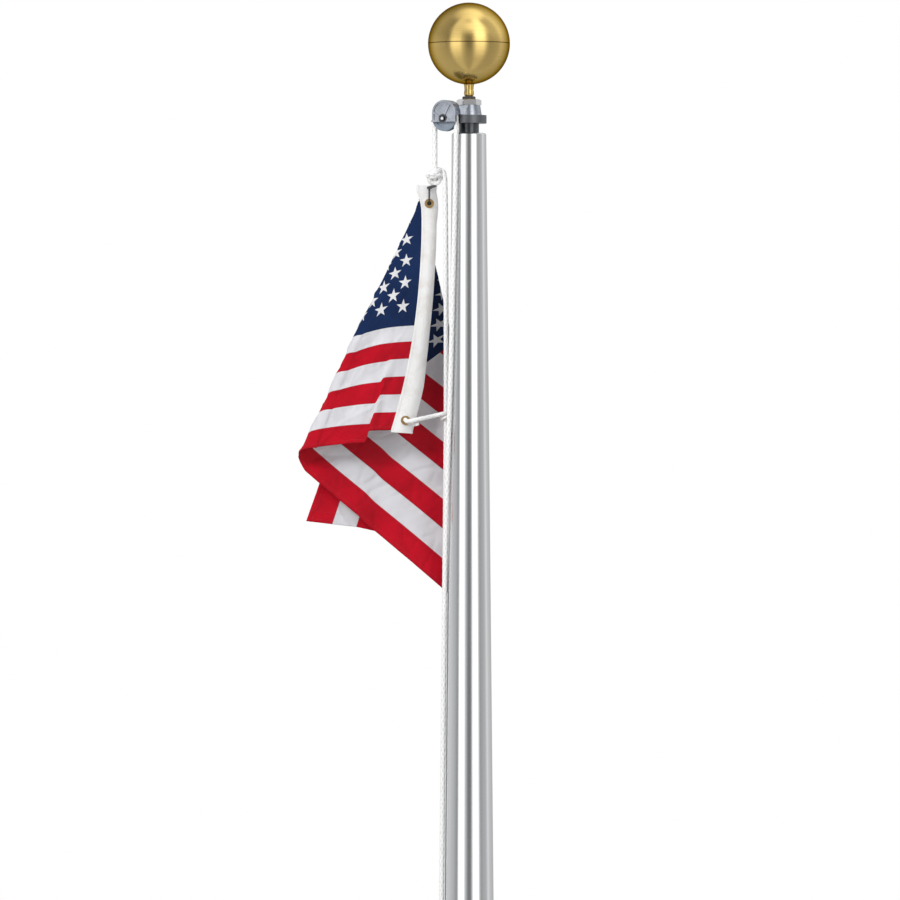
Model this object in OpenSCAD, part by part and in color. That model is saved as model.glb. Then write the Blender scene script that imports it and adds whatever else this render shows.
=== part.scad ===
// Ground-mounted halyard flagpole: a tapered tube on a bolted shoe base, a pulley
// truck with a gold ball on top, a halyard belayed on a cleat, and a hanging flag.
// +Z is up. The origin is the centre of the base flange's underside, at ground level.

/* [Pole] */
// Height of the tube's top above the ground
pole_height = 4572; // [3600:1:6100]
// Tube diameter at the ground
butt_d = 76.2; // [63.5:0.1:101.6]
// Tube diameter at the top
top_d = 42.8; // [38:0.1:57]
// Length of the tapered part, measured down from the top
taper_length = 1740; // [1400:1:2200]
// Wall thickness of the tube
pole_wall = 3.2; // [2:0.1:4.5]

/* [Base] */
// Diameter of the round base flange
flange_d = 190; // [170:1:240]
// Thickness of the base flange
flange_t = 14; // [10:0.5:20]
// Wall of the socket around the tube
socket_wall = 11; // [8:0.5:16]
// Height of the socket above the flange
socket_h = 88; // [60:1:120]
// Diameter of the bolt circle
bolt_circle_d = 152.4; // [140:0.1:160]
// Diameter of the anchor bolt holes
bolt_hole_d = 14.3; // [11:0.1:18]

/* [Truck] */
// Angle that the truck's pulley is turned from the flag's side
truck_turn = 25; // [0:1:45]
// Diameter of the spindle between tube and truck
spindle_d = 24.8; // [20:0.1:28]
// Bare spindle that shows between tube and truck
neck_h = 12; // [8:0.5:16]
// Diameter of the truck's round flange
truck_flange_d = 43.6; // [38:0.1:50]
// Thickness of the truck's round flange
truck_flange_t = 10; // [7:0.5:13]
// Height of the conical hub above that flange
hub_h = 12.5; // [10:0.5:16]
// Radius of the rope's centreline on the pulley
sheave_pitch_r = 14.2; // [13:0.1:17]
// Width of the pulley
sheave_w = 9.6; // [9:0.1:12]
// Diameter of the pulley's axle
axle_d = 7.94; // [6:0.01:9]
// Thickness of the housing's front cheek
cheek_t = 3.6; // [2.5:0.1:5]

/* [Ball] */
// Diameter of the ball
ball_d = 101.6; // [76.2:0.1:127]
// Sheet thickness of the ball
ball_wall = 1.2; // [0.8:0.1:2]
// Diameter of the ball's neck
stem_d = 12.4; // [11:0.1:15]
// Length of the neck between nut and ball
stem_h = 15; // [12:0.5:24]
// Diameter of the threaded rod in the ball
rod_d = 9.5; // [7:0.1:10]

/* [Halyard] */
// Diameter of the rope
rope_d = 6.35; // [4.8:0.05:8]
// Height of the cleat's middle above the ground
cleat_z = 1350; // [1000:1:1600]
// Length of the cleat from horn to horn
cleat_length = 152; // [120:1:190]

/* [Flag] */
// Length of the canvas header
header_length = 300; // [250:1:360]
// Width of the canvas header
header_w = 22; // [16:0.5:26]
// Thickness of the canvas header
header_t = 1.6; // [1.2:0.1:2.4]
// Outer diameter of the brass grommets
grommet_d = 11.6; // [10:0.1:14]

/* [Hidden] */
$fn = 72;

// Clearances
seat_gap = 0.1;      // between pieces that are fastened together
running_gap = 0.04;  // between axle and pulley bore
soft_gap = 0.4;      // between rope or cloth and its neighbours
overcut = 1;         // how far a cut runs past a face

// Base
socket_floor = 8;
socket_r = butt_d / 2 + seat_gap;
socket_outer_r = socket_r + socket_wall;
socket_chamfer = 4;
set_screw_r = 5;
set_screw_count = 3;
set_screw_z = flange_t + socket_h * 0.62;
socket_hex_r = 2.9;
socket_hex_depth = 4;

// Tube
butt_r = butt_d / 2;
top_r = top_d / 2;
taper_z = pole_height - taper_length;
rim_round = 1.6;
bushing_h = 60;
function pole_r(z) =
  z < taper_z ? butt_r : butt_r + (top_r - butt_r) * (z - taper_z) / taper_length;

// Truck, in its own frame: the tube's top is z = 0 and the pulley's axle runs along Y
rope_r = rope_d / 2;
spindle_r = spindle_d / 2;
truck_flange_r = truck_flange_d / 2;
hub_low_r = 15.9;
hub_top_r = 14;
hub_top_z = neck_h + truck_flange_t + hub_h;
spindle_top_r = 8;
axle_r = axle_d / 2;
sheave_r = sheave_pitch_r + 1.4;
groove_r = rope_r + 0.45;
sheave_side_gap = 0.6;
slot_w = sheave_w + 2 * sheave_side_gap;
slot_r = sheave_pitch_r + rope_r + 0.6;
// The housing is narrower than the rope's turn, so that both falls leave through its open sides
arch_r = 15.9;
arch_lift = 6.9;
arch_drop = 4.2;
arch_shift = 1.5;
back_cheek_t = 4;
axle_z = neck_h + 5.3;
// The rope hangs clear of the tube, in front of it and to the flag's side
sheave_y = -(top_r + rope_r + soft_gap + 0.2);
sheave_x = -(sheave_pitch_r + 6);
face_y = sheave_y - slot_w / 2 - cheek_t;
back_y = sheave_y + slot_w / 2 + back_cheek_t;
pocket_depth = 1.2;
pocket_rim = 2.4;
boss_r = 5.2;
rib_w = 1.8;
axle_head_r = 3.3;
axle_head_t = 1.8;
axle_end_y = back_y + 3;
axle_slot_w = 1.2;
nut_flats = 26.8;
nut_h = 7.3;
nut_chamfer = 1.3;
jam_flats = 14.3;
jam_h = 3.7;
stem_z = hub_top_z + nut_h + jam_h;
ball_r = ball_d / 2;
ball_z = stem_z + stem_h + sqrt(ball_r * ball_r - stem_d * stem_d / 4);
ball_seam = 0.5;
rod_r = rod_d / 2;
rod_bottom_z = hub_top_z - 22;
rod_top_z = stem_z + stem_h - 3;

// Where the outer fall of rope leaves the pulley, in the part's frame
function turned(p) = [
  p[0] * cos(truck_turn) + p[1] * sin(truck_turn),
  p[1] * cos(truck_turn) - p[0] * sin(truck_turn),
  p[2] + pole_height
];
outer_fall = turned([sheave_x - sheave_pitch_r, sheave_y, axle_z]);

// Flag fastening, below the outer fall
knot_r = 9.6;
knot_h = 14.5;
knot_round = 4;
knot_z = pole_height - 56.5;
header_top_z = pole_height - 72.5;
header_y = outer_fall[1] - 1.5;
grommet_x = outer_fall[0] - 7.3;
grommet_upper_z = header_top_z - 15;
grommet_r = grommet_d / 2;
grommet_hole_r = 2.7;
grommet_barrel_t = 0.7;
grommet_lip_t = 0.9;
hook_wire_r = 1.15;
hook_bend_r = 4.4;
hook_bottom_z = grommet_upper_z + grommet_hole_r - hook_wire_r - 0.3;
hook_top_z = header_top_z + 2;
swivel_r = 3;

// The header's middle line: sideways offset from its top, and drop, both as shares of
// header_length
header_line = [
  [0, 0], [-0.002, 0.15], [-0.009, 0.34], [-0.022, 0.5], [-0.042, 0.65], [-0.067, 0.8],
  [-0.1, 0.92], [-0.122, 0.99]
];
header_x = outer_fall[0] - 4.9;
function header_point(p) = [header_x + p[0] * header_length, header_top_z - p[1] * header_length];
grommet_lower = header_point([-0.106, 0.945]);
// Outline of the hanging cloth seen from the front, as shares of header_length from the
// header's top
cloth_top = [-0.05, 0.035];
cloth_left = [[-0.296, 0.56], [-0.546, 1.09], [-0.552, 1.12], [-0.536, 1.17], [-0.467, 1.216]];
cloth_front_hem = [[-0.36, 1.055], [-0.27, 1.04], [-0.165, 0.985]];
cloth_fly_end = [[-0.519, 1.366], [-0.249, 1.398]];
cloth_back_hem = [[0.04, 1.64], [0.1, 1.68]];
cloth_back_top = [0.055, 0.36];
cloth_front_y = header_y - 1.5;
cloth_mid_y = header_y + 22;
cloth_back_y = header_y + 62;

// Cleat, on the flag's side of the tube
cleat_base_t = 7;
cleat_base_w = 24;
cleat_base_h = 76;
cleat_stem_w = 13;
cleat_stem_h = 38;
cleat_reach = 26;
cleat_bar_r = 6.5;
cleat_tip_r = 3.6;
cleat_tip_rise = 5;
cleat_screw_offset = 28.5;
screw_shank_r = 2.4;
screw_head_r = 4.6;
screw_head_h = 2.6;
cleat_base_x = -(butt_r + seat_gap);
cleat_bar_x = cleat_base_x - cleat_base_t - cleat_reach;
belay_r = 26;
belay_front_x = cleat_bar_x - cleat_bar_r - rope_d - 1;
belay_back_x = cleat_base_x - cleat_base_t - screw_head_h - soft_gap;

// The rope's lane beside the tube: a point at a height and a compass angle, clear of the
// tube by soft_gap
function lane(z, angle) = let (r = pole_r(z) + rope_r + soft_gap) [r * cos(angle), r * sin(angle), z];
// Half the angle between the two falls where they hang side by side
function spread(z) = asin((rope_r + soft_gap) / (pole_r(z) + rope_r + soft_gap));
below_top = function (drop) pole_height - drop;
belay_top = [cleat_bar_x + 12, 0, cleat_z + belay_r + 0.4];
bar_room = 2 * (cleat_bar_r + 3 * soft_gap);
hauling_path = concat(
  [[outer_fall[0], outer_fall[1], knot_z + knot_h / 2]],
  [for (a = [180 : -15 : 0])
    turned([sheave_x + sheave_pitch_r * cos(a), sheave_y, axle_z + sheave_pitch_r * sin(a)])],
  [for (s = [[60, 229], [206, 221], [330, 213], [454, 199], [578, 188]])
    lane(below_top(s[0]), s[1])],
  [for (z = [below_top(900), taper_z, cleat_z + 300]) lane(z, 180 + spread(z))],
  [belay_top + [0, -rope_r - 0.5, 0]]
);
tie_z = grommet_lower[1] + 6;
flag_part_path = concat(
  [[outer_fall[0] + knot_r + 0.3, outer_fall[1], knot_z + 1.5],
   [outer_fall[0] + knot_r + 2.4, outer_fall[1], knot_z + 1.5],
   [outer_fall[0] + knot_r + 4.6, outer_fall[1], knot_z - 1],
   [outer_fall[0] + knot_r + 5, outer_fall[1], knot_z - 8]],
  [lane(tie_z, 175), lane(below_top(578), 173)],
  [for (z = [below_top(900), taper_z, cleat_z + 300]) lane(z, 180 - spread(z))],
  [belay_top + [0, rope_r + 0.5, 0]]
);
hitch_center = lane(tie_z, 175);
hitch_r = rope_r * 2.2;
hitch_h = rope_d * 2;
tie_path = [
  [grommet_lower[0] - 1, header_y - header_t / 2 - grommet_lip_t - rope_r - 0.5, grommet_lower[1]],
  [grommet_lower[0] + 12, header_y - 5, grommet_lower[1] + 1.5],
  [hitch_center[0] - hitch_r - 9, hitch_center[1] - 6, tie_z - 2],
  [hitch_center[0] - hitch_r - 0.4, hitch_center[1] - 1, tie_z]
];

// Swept tube: rings of the same radius carried along a path without twist
function unit(v) = v / norm(v);
function tangent(path, i) =
  unit(path[min(i + 1, len(path) - 1)] - path[max(i - 1, 0)]);
function carried(normal, along) = unit(normal - (normal * along) * along);
function side_vectors(path, found = [], i = 0) =
  i == len(path) ? found :
  let (t = tangent(path, i), last = i == 0 ? [0.2, 1, 0.1] : found[i - 1])
  side_vectors(path, concat(found, [carried(last, t)]), i + 1);
function ring(p, t, n, r, sides) =
  let (b = cross(t, n))
  [for (k = [0 : sides - 1]) let (a = 360 * k / sides) p + r * (cos(a) * n + sin(a) * b)];

module rope(path, r = rope_r, sides = 10) {
  n = side_vectors(path);
  rings = [for (i = [0 : len(path) - 1]) each ring(path[i], tangent(path, i), n[i], r, sides)];
  last = (len(path) - 1) * sides;
  polyhedron(
    points = rings,
    faces = concat(
      [[for (k = [0 : sides - 1]) k]],
      [for (i = [0 : len(path) - 2], k = [0 : sides - 1]) let (
        a = i * sides + k, b = i * sides + (k + 1) % sides, c = b + sides, d = a + sides)
        each [[a, d, c], [a, c, b]]],
      [[for (k = [sides - 1 : -1 : 0]) last + k]]
    )
  );
}

// ---- base ----

module base_flange() color("silver") difference() {
  union() {
    cylinder(d = flange_d, h = flange_t);
    cylinder(r = socket_outer_r, h = flange_t + socket_h - socket_chamfer);
    translate([0, 0, flange_t + socket_h - socket_chamfer])
      cylinder(r1 = socket_outer_r, r2 = socket_outer_r - socket_chamfer, h = socket_chamfer);
    // Root of the socket, a cast fillet drawn as a cone
    translate([0, 0, flange_t])
      cylinder(r1 = socket_outer_r + socket_chamfer * 2, r2 = socket_outer_r, h = socket_chamfer * 3);
  }
  translate([0, 0, socket_floor]) cylinder(r = socket_r, h = flange_t + socket_h);
  for (a = [45 : 90 : 315])
    rotate([0, 0, a]) translate([bolt_circle_d / 2, 0, -overcut])
      cylinder(d = bolt_hole_d, h = flange_t * 2);
  set_screw_places() cylinder(r = set_screw_r + seat_gap, h = socket_wall + 2 * overcut);
}

// Radial places of the set screws, with local z pointing out of the socket
module set_screw_places()
  for (k = [0 : set_screw_count - 1])
    rotate([0, 0, 60 + k * 360 / set_screw_count])
      translate([socket_r - overcut, 0, set_screw_z]) rotate([0, 90, 0]) children();

module base_set_screws() color("gray") difference() {
  set_screw_places() translate([0, 0, overcut]) cylinder(r = set_screw_r, h = socket_wall - 0.8);
  set_screw_places() translate([0, 0, overcut + socket_wall - 0.8 - socket_hex_depth])
    cylinder(r = socket_hex_r, h = socket_hex_depth * 2, $fn = 6);
}

// ---- tube ----

module pole_tube() color("lightgray") difference() {
  rotate_extrude() polygon([
    [butt_r - pole_wall, socket_floor], [butt_r, socket_floor], [butt_r, taper_z],
    [top_r, pole_height - rim_round], [top_r - rim_round, pole_height],
    [top_r - pole_wall, pole_height], [top_r - pole_wall, pole_height - bushing_h - rim_round],
    [butt_r - pole_wall, taper_z]
  ]);
  for (side = [-1, 1]) translate([-butt_r - overcut, 0, cleat_z + side * cleat_screw_offset])
    rotate([0, 90, 0]) cylinder(r = screw_shank_r + seat_gap, h = pole_wall * 3);
}

module top_bushing() color("silver") translate([0, 0, pole_height - bushing_h]) difference() {
  cylinder(r = top_r - pole_wall - seat_gap, h = bushing_h - 0.4);
  translate([0, 0, -overcut]) cylinder(r = spindle_r + seat_gap, h = bushing_h + 2 * overcut);
}

// ---- truck ----

module on_truck() translate([0, 0, pole_height]) rotate([0, 0, -truck_turn]) children();

// Stands a flat shape up, facing -Y, from y = from towards the front
module facing(from, depth)
  translate([sheave_x, from, axle_z]) rotate([90, 0, 0]) linear_extrude(depth) children();

// Arch with straight sides and a flat foot, around the axle
module arch(r, lift, drop) translate([arch_shift, 0]) intersection() {
  union() {
    translate([0, lift]) circle(r);
    translate([-r, -drop]) square([2 * r, drop + lift]);
  }
  translate([-r - overcut, -drop]) square([2 * r + 2 * overcut, drop + lift + r + overcut]);
}

module truck_spindle() color("dimgray") on_truck() difference() {
  union() {
    translate([0, 0, -bushing_h + 2]) cylinder(r = spindle_r, h = bushing_h - 2 + neck_h - seat_gap);
    cylinder(r = spindle_top_r, h = hub_top_z + nut_h - 0.8);
  }
  translate([0, 0, rod_bottom_z]) cylinder(r = rod_r + seat_gap, h = hub_top_z);
}

module truck_web() translate([0, 0, neck_h]) linear_extrude(truck_flange_t + hub_h - 1)
  polygon([
    [sheave_x - arch_r + 4, back_y - back_cheek_t], [sheave_x + arch_r, back_y - back_cheek_t],
    [hub_top_r - 3, -9], [hub_top_r - 2, 4], [0, hub_top_r - 1], [-hub_top_r + 1, 7],
    [sheave_x - 7, back_y + 5], [sheave_x - arch_r + 4, back_y]
  ]);

// Shallow panel in the cheek's face, with the axle's boss and three ribs left standing
module face_pocket() difference() {
  arch(arch_r - pocket_rim, arch_lift, arch_drop - pocket_rim);
  circle(boss_r);
  for (a = [-8, 62, 150]) rotate(a) translate([0, -rib_w / 2]) square([arch_r * 2, rib_w]);
}

module truck_body() color("darkgray") on_truck() difference() {
  union() {
    translate([0, 0, neck_h]) cylinder(r = truck_flange_r, h = truck_flange_t);
    translate([0, 0, neck_h + truck_flange_t]) cylinder(r1 = hub_low_r, r2 = hub_top_r, h = hub_h);
    truck_web();
    facing(back_y, back_y - face_y) arch(arch_r, arch_lift, arch_drop);
    // Lip along the foot of the arch
    facing(back_y, back_y - face_y) translate([arch_shift - arch_r - 1.2, -arch_drop]) square([arch_r, 2]);
  }
  // Rope slot, open below
  facing(sheave_y + slot_w / 2, slot_w) union() {
    circle(slot_r);
    translate([-slot_r, -slot_r * 2]) square([slot_r * 2, slot_r * 2]);
  }
  facing(face_y + pocket_depth, pocket_depth + overcut) face_pocket();
  facing(axle_end_y, axle_end_y - face_y + overcut) circle(axle_r + seat_gap);
  translate([0, 0, -overcut]) cylinder(r = spindle_top_r + seat_gap, h = hub_top_z + 2 * overcut);
}

module sheave() color("slategray") on_truck() translate([sheave_x, sheave_y, axle_z]) rotate([90, 0, 0])
  rotate_extrude() difference() {
    translate([axle_r + running_gap, -sheave_w / 2]) square([sheave_r - axle_r - running_gap, sheave_w]);
    translate([sheave_pitch_r, 0]) circle(groove_r);
    translate([sheave_pitch_r, -groove_r]) square([groove_r, groove_r * 2]);
    // Dished sides
    for (side = [-1, 1]) translate([axle_r + 2.2, side * sheave_w / 2 - 0.9])
      square([groove_r + 1.2, 1.8]);
  }

module sheave_axle() color("gainsboro") on_truck() difference() {
  union() {
    facing(axle_end_y - seat_gap, axle_end_y - face_y) circle(axle_r);
    facing(face_y - seat_gap, axle_head_t) circle(axle_head_r);
  }
  facing(face_y - seat_gap - axle_head_t / 2, axle_head_t) rotate(-50)
    square([axle_head_r * 3, axle_slot_w], center = true);
}

// Nut with its upper corners turned off
module hex_nut(flats, h, bore_r, chamfer) difference() {
  intersection() {
    rotate([0, 0, 30]) cylinder(r = flats / sqrt(3), h = h, $fn = 6);
    union() {
      cylinder(r = flats / sqrt(3) + 1, h = h - chamfer);
      translate([0, 0, h - chamfer])
        cylinder(r1 = flats / sqrt(3), r2 = flats / 2 - chamfer / 2, h = chamfer);
    }
  }
  translate([0, 0, -overcut]) cylinder(r = bore_r, h = h + 2 * overcut);
}

module truck_nut() color("whitesmoke") on_truck() translate([0, 0, hub_top_z + seat_gap])
  hex_nut(nut_flats, nut_h - seat_gap, spindle_top_r + seat_gap, nut_chamfer);

// ---- ball ----

module ball_jam_nut() color("whitesmoke") on_truck() translate([0, 0, hub_top_z + nut_h + seat_gap])
  hex_nut(jam_flats, jam_h - 2 * seat_gap, rod_r + seat_gap, nut_chamfer / 2);

module ball_rod() color("gray") on_truck() translate([0, 0, rod_bottom_z + 0.2])
  cylinder(r = rod_r, h = rod_top_z - rod_bottom_z);

// Neck: a waisted sleeve with a round lower end
module ball_neck() color("goldenrod") on_truck() difference() {
  translate([0, 0, stem_z]) rotate_extrude() polygon(concat(
    [[rod_r + seat_gap, 0]],
    [for (a = [-70 : 14 : 0]) [rod_r - 0.6 + (stem_d / 2 - rod_r + 0.6) * cos(a), 4 + 4 * sin(a)]],
    [[stem_d / 2 - 0.7, stem_h * 0.55], [stem_d / 2 - 0.2, stem_h - 1.5], [stem_d / 2 + 0.4, stem_h - 0.2],
     [rod_r + seat_gap, stem_h - 0.2]]
  ));
  translate([0, 0, ball_z]) sphere(r = ball_r + 0.15);
}

// Half a spun shell; up is 1 for the upper half
module half_ball(up) translate([0, 0, ball_z]) intersection() {
  difference() {
    sphere(r = ball_r);
    sphere(r = ball_r - ball_wall);
    translate([0, 0, -ball_r * 2]) cylinder(r = rod_r + seat_gap, h = ball_r * 2);
  }
  translate([0, 0, up > 0 ? ball_seam / 2 : -ball_r - overcut]) cylinder(r = ball_r + overcut,
    h = ball_r + overcut - ball_seam / 2);
}

module ball_lower_half() color("gold") on_truck() {
  half_ball(-1);
  // Rolled lip that the upper half sits on
  translate([0, 0, ball_z - 5]) rotate_extrude()
    translate([ball_r - ball_wall * 2.1, 0]) square([ball_wall * 0.9, 9]);
}

module ball_upper_half() color("gold") on_truck() half_ball(1);

// ---- cleat ----

module cleat_solid() {
  translate([cleat_bar_x, -cleat_stem_w / 2, cleat_z - cleat_stem_h / 2])
    cube([cleat_reach + 2, cleat_stem_w, cleat_stem_h]);
  for (side = [-1, 1]) hull() {
    translate([cleat_bar_x, 0, cleat_z]) sphere(r = cleat_bar_r, $fn = 32);
    translate([cleat_bar_x - cleat_tip_rise, 0, cleat_z + side * (cleat_length / 2 - cleat_tip_r)])
      sphere(r = cleat_tip_r, $fn = 32);
  }
}

module cleat() color("silver") difference() {
  union() {
    cleat_solid();
    translate([-butt_r - cleat_base_t, 0, cleat_z]) rotate([0, 90, 0]) linear_extrude(butt_r)
      intersection() {
        square([cleat_base_h, cleat_base_w], center = true);
        circle(cleat_base_h / 2);
      }
  }
  cylinder(r = butt_r + seat_gap, h = pole_height);
  for (side = [-1, 1]) translate([-butt_r - cleat_base_t * 2, 0, cleat_z + side * cleat_screw_offset])
    rotate([0, 90, 0]) cylinder(r = screw_shank_r + seat_gap, h = cleat_base_t * 3);
}

module cleat_screw(side) color("gainsboro")
  translate([-butt_r - cleat_base_t - seat_gap, 0, cleat_z + side * cleat_screw_offset]) rotate([0, 90, 0])
    difference() {
      union() {
        cylinder(r = screw_shank_r, h = cleat_base_t + pole_wall + 2);
        translate([0, 0, -screw_head_h])
          cylinder(r1 = screw_head_r * 0.72, r2 = screw_head_r, h = screw_head_h);
      }
      for (a = [0, 90]) rotate([0, 0, a]) translate([-3, -0.5, -screw_head_h - overcut]) cube([6, 1, 2.2]);
    }

module cleat_screw_upper() cleat_screw(1);
module cleat_screw_lower() cleat_screw(-1);

// ---- halyard ----

module halyard_hauling_part() color("white") rope(hauling_path);
module halyard_flag_part() color("white") rope(flag_part_path);

// Outer shape of the turns around the cleat
module halyard_belay() color("white") difference() {
  translate([belay_front_x, 0, cleat_z]) rotate([0, 90, 0])
    cylinder(r = belay_r, h = belay_back_x - belay_front_x);
  // Room for the cleat's bar and stem
  translate([cleat_bar_x, 0, cleat_z]) cube([bar_room, bar_room, belay_r * 3], center = true);
  translate([cleat_bar_x, -cleat_stem_w / 2 - soft_gap, cleat_z - cleat_stem_h / 2 - soft_gap])
    cube([cleat_reach * 2, cleat_stem_w + 2 * soft_gap, cleat_stem_h + 2 * soft_gap]);
}

module halyard_knot() color("white")
  translate([outer_fall[0], outer_fall[1], knot_z - knot_h / 2]) rotate_extrude() {
    square([knot_r - knot_round, knot_h]);
    translate([0, knot_round]) square([knot_r, knot_h - 2 * knot_round]);
    for (z = [knot_round, knot_h - knot_round]) translate([knot_r - knot_round, z]) circle(knot_round);
  }

// ---- snap ----

module snap_hook() color("silver") translate([grommet_x, header_y, 0]) rotate([0, 0, 90]) {
  side_h = hook_top_z - hook_bottom_z - 2 * hook_bend_r;
  for (side = [-1, 1]) translate([side * hook_bend_r, 0, hook_bottom_z + hook_bend_r])
    cylinder(r = hook_wire_r, h = side_h, $fn = 24);
  for (end = [0, 1]) translate([0, 0, hook_bottom_z + hook_bend_r + end * side_h]) rotate([90, 0, 0])
    rotate([0, 0, end * 180 + 180]) rotate_extrude(angle = 180) translate([hook_bend_r, 0])
      circle(hook_wire_r, $fn = 24);
}

// Swivel barrel and the eye that the rope is tied to
module snap_swivel() color("silver") {
  barrel_z = hook_top_z + hook_wire_r + seat_gap;
  translate([grommet_x, header_y, barrel_z]) cylinder(r = swivel_r, h = 2.4, $fn = 32);
  hull() {
    translate([grommet_x, header_y, barrel_z + 1.7]) sphere(r = 1.5, $fn = 24);
    translate([outer_fall[0], outer_fall[1], knot_z - knot_h / 2 - 2]) sphere(r = 1.5, $fn = 24);
  }
}

// ---- flag ----

// Ribbon outline of the header, seen from the front
module header_outline(grow = 0) {
  half = header_w / 2 + grow;
  points = [for (p = header_line) header_point(p)];
  polygon(concat(
    [for (i = [0 : len(points) - 1]) points[i] - [half, i == 0 ? -grow : 0]],
    [for (i = [len(points) - 1 : -1 : 0]) points[i] + [half, i == 0 ? grow : 0]]
  ));
}

module front_slab(front, back)
  translate([0, back, 0]) rotate([90, 0, 0]) linear_extrude(back - front) children();

module grommet_hole() cylinder(r = grommet_hole_r + grommet_barrel_t + seat_gap, h = 20, center = true);

module flag_header() color("white") difference() {
  front_slab(header_y - header_t / 2, header_y + header_t / 2) header_outline();
  grommet_place_upper() grommet_hole();
  grommet_place_lower() grommet_hole();
}

module grommet_place_upper()
  translate([grommet_x, header_y, grommet_upper_z]) rotate([90, 0, 0]) children();
module grommet_place_lower()
  translate([grommet_lower[0], header_y, grommet_lower[1]]) rotate([90, 0, 0]) children();

module grommet() rotate_extrude() difference() {
  union() {
    translate([grommet_hole_r, -header_t / 2 - grommet_lip_t])
      square([grommet_barrel_t, header_t + 2 * grommet_lip_t]);
    for (side = [-1, 1])
      translate([grommet_hole_r, side * (header_t + grommet_lip_t + seat_gap) / 2 - grommet_lip_t / 2])
      square([grommet_r - grommet_hole_r, grommet_lip_t]);
  }
}

module grommet_upper() color("goldenrod") grommet_place_upper() grommet();
module grommet_lower() color("goldenrod") grommet_place_lower() grommet();

// Outer shape of the folded, hanging cloth: a front layer that is sewn to the header, and
// the layers behind it, which reach round behind the tube
module cloth_front_outline() polygon(concat(
  [for (p = concat([cloth_top], cloth_left, cloth_front_hem)) header_point(p)],
  [for (i = [len(header_line) - 1 : -1 : 1]) header_point(header_line[i]) - [header_w / 2 + soft_gap, 0]]
));

module flag_cloth() color("firebrick") difference() {
  union() {
    front_slab(cloth_front_y, cloth_mid_y + overcut) cloth_front_outline();
    front_slab(cloth_mid_y, cloth_back_y)
      polygon([
        for (p = concat([cloth_top], cloth_left, cloth_fly_end, cloth_back_hem, [cloth_back_top]))
          header_point(p)
      ]);
  }
  // Clear of the tube and of the ropes beside it
  cylinder(r = pole_r(header_top_z - header_length * 1.7) + rope_d + 2 * soft_gap, h = pole_height);
}

// Short line from the lower grommet to the halyard, and the hitch that holds it there
module grommet_tie() color("white") difference() {
  rope(tie_path, rope_r * 0.8);
  grommet_place_lower()
    cylinder(r = grommet_r + soft_gap, h = header_t + 2 * grommet_lip_t + soft_gap, center = true);
}

module tie_hitch() color("white") difference() {
  translate(hitch_center - [0, 0, hitch_h / 2]) cylinder(r = hitch_r, h = hitch_h);
  rope(flag_part_path, rope_r + seat_gap);
  cylinder(r = pole_r(tie_z - hitch_h) + soft_gap, h = pole_height);
}

base_flange();
base_set_screws();
pole_tube();
top_bushing();
truck_spindle();
truck_body();
sheave();
sheave_axle();
truck_nut();
ball_jam_nut();
ball_rod();
ball_neck();
ball_lower_half();
ball_upper_half();
cleat();
cleat_screw_upper();
cleat_screw_lower();
halyard_hauling_part();
halyard_flag_part();
halyard_belay();
halyard_knot();
snap_hook();
snap_swivel();
flag_header();
flag_cloth();
grommet_upper();
grommet_lower();
grommet_tie();
tie_hitch();
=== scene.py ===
"""Looks of a ground-mounted flagpole: satin tube, cast truck, gold ball, braided halyard and
a small flag that hangs limp from its header. Everything is in metres, in the frame's own axes."""
import math

import bpy
import numpy as np
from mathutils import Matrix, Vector


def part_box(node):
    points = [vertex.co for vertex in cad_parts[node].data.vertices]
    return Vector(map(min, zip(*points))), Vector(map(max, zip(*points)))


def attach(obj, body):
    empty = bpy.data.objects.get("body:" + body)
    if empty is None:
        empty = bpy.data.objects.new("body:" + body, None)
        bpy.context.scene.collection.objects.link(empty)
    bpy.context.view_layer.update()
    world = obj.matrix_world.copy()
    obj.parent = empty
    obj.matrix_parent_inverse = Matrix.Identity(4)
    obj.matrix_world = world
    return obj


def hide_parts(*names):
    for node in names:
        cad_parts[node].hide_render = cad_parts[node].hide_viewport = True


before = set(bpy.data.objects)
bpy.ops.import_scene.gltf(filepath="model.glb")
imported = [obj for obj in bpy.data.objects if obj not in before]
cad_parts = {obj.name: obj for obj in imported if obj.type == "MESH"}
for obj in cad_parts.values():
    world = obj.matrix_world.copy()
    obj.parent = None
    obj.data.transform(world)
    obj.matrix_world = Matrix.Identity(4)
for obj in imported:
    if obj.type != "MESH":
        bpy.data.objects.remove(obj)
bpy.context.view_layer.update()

MM = 0.001
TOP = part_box("pole_tube")[1].z
TOP_R = 21.4 * MM
BUTT_R = 38.1 * MM
TAPER = 1.74
TAPER_Z = TOP - TAPER
BALL_LOW, BALL_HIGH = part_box("ball_lower_half")[0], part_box("ball_upper_half")[1]
BALL_Z = (BALL_LOW.z + BALL_HIGH.z) / 2
ROPE_R = 3.175 * MM
BODY = "mast"
TRUCK_TURN = math.radians(25)
SHEAVE_PITCH_R = 14.2 * MM
SHEAVE_X, SHEAVE_Y = -(SHEAVE_PITCH_R + 6 * MM), -(TOP_R + ROPE_R + 0.6 * MM)
AXLE_Z = 17.3 * MM
CLEAT_Z = 1.35
CLEAT_BAR_X = -71.2 * MM
KNOT_Z = TOP - 56.5 * MM
KNOT_R = 9.6 * MM
ROPE_GAP = 0.4 * MM
PLAIT, PLAITS = 10.2 * MM, 4


# ---------------------------------------------------------------- camera, light and floor

def add_camera():
    """A long lens, level with the top of the tube."""
    data = bpy.data.cameras.new("camera")
    data.lens = 300
    data.sensor_width = 36
    data.clip_end = 200
    view_width = 1.115
    camera = bpy.data.objects.new("camera", data)
    distance = view_width * data.lens / data.sensor_width
    camera.location = (-0.0235, -distance, TOP - 0.3926)
    camera.rotation_euler = (math.pi / 2, 0, 0)
    bpy.context.scene.collection.objects.link(camera)
    bpy.context.scene.camera = camera


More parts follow.
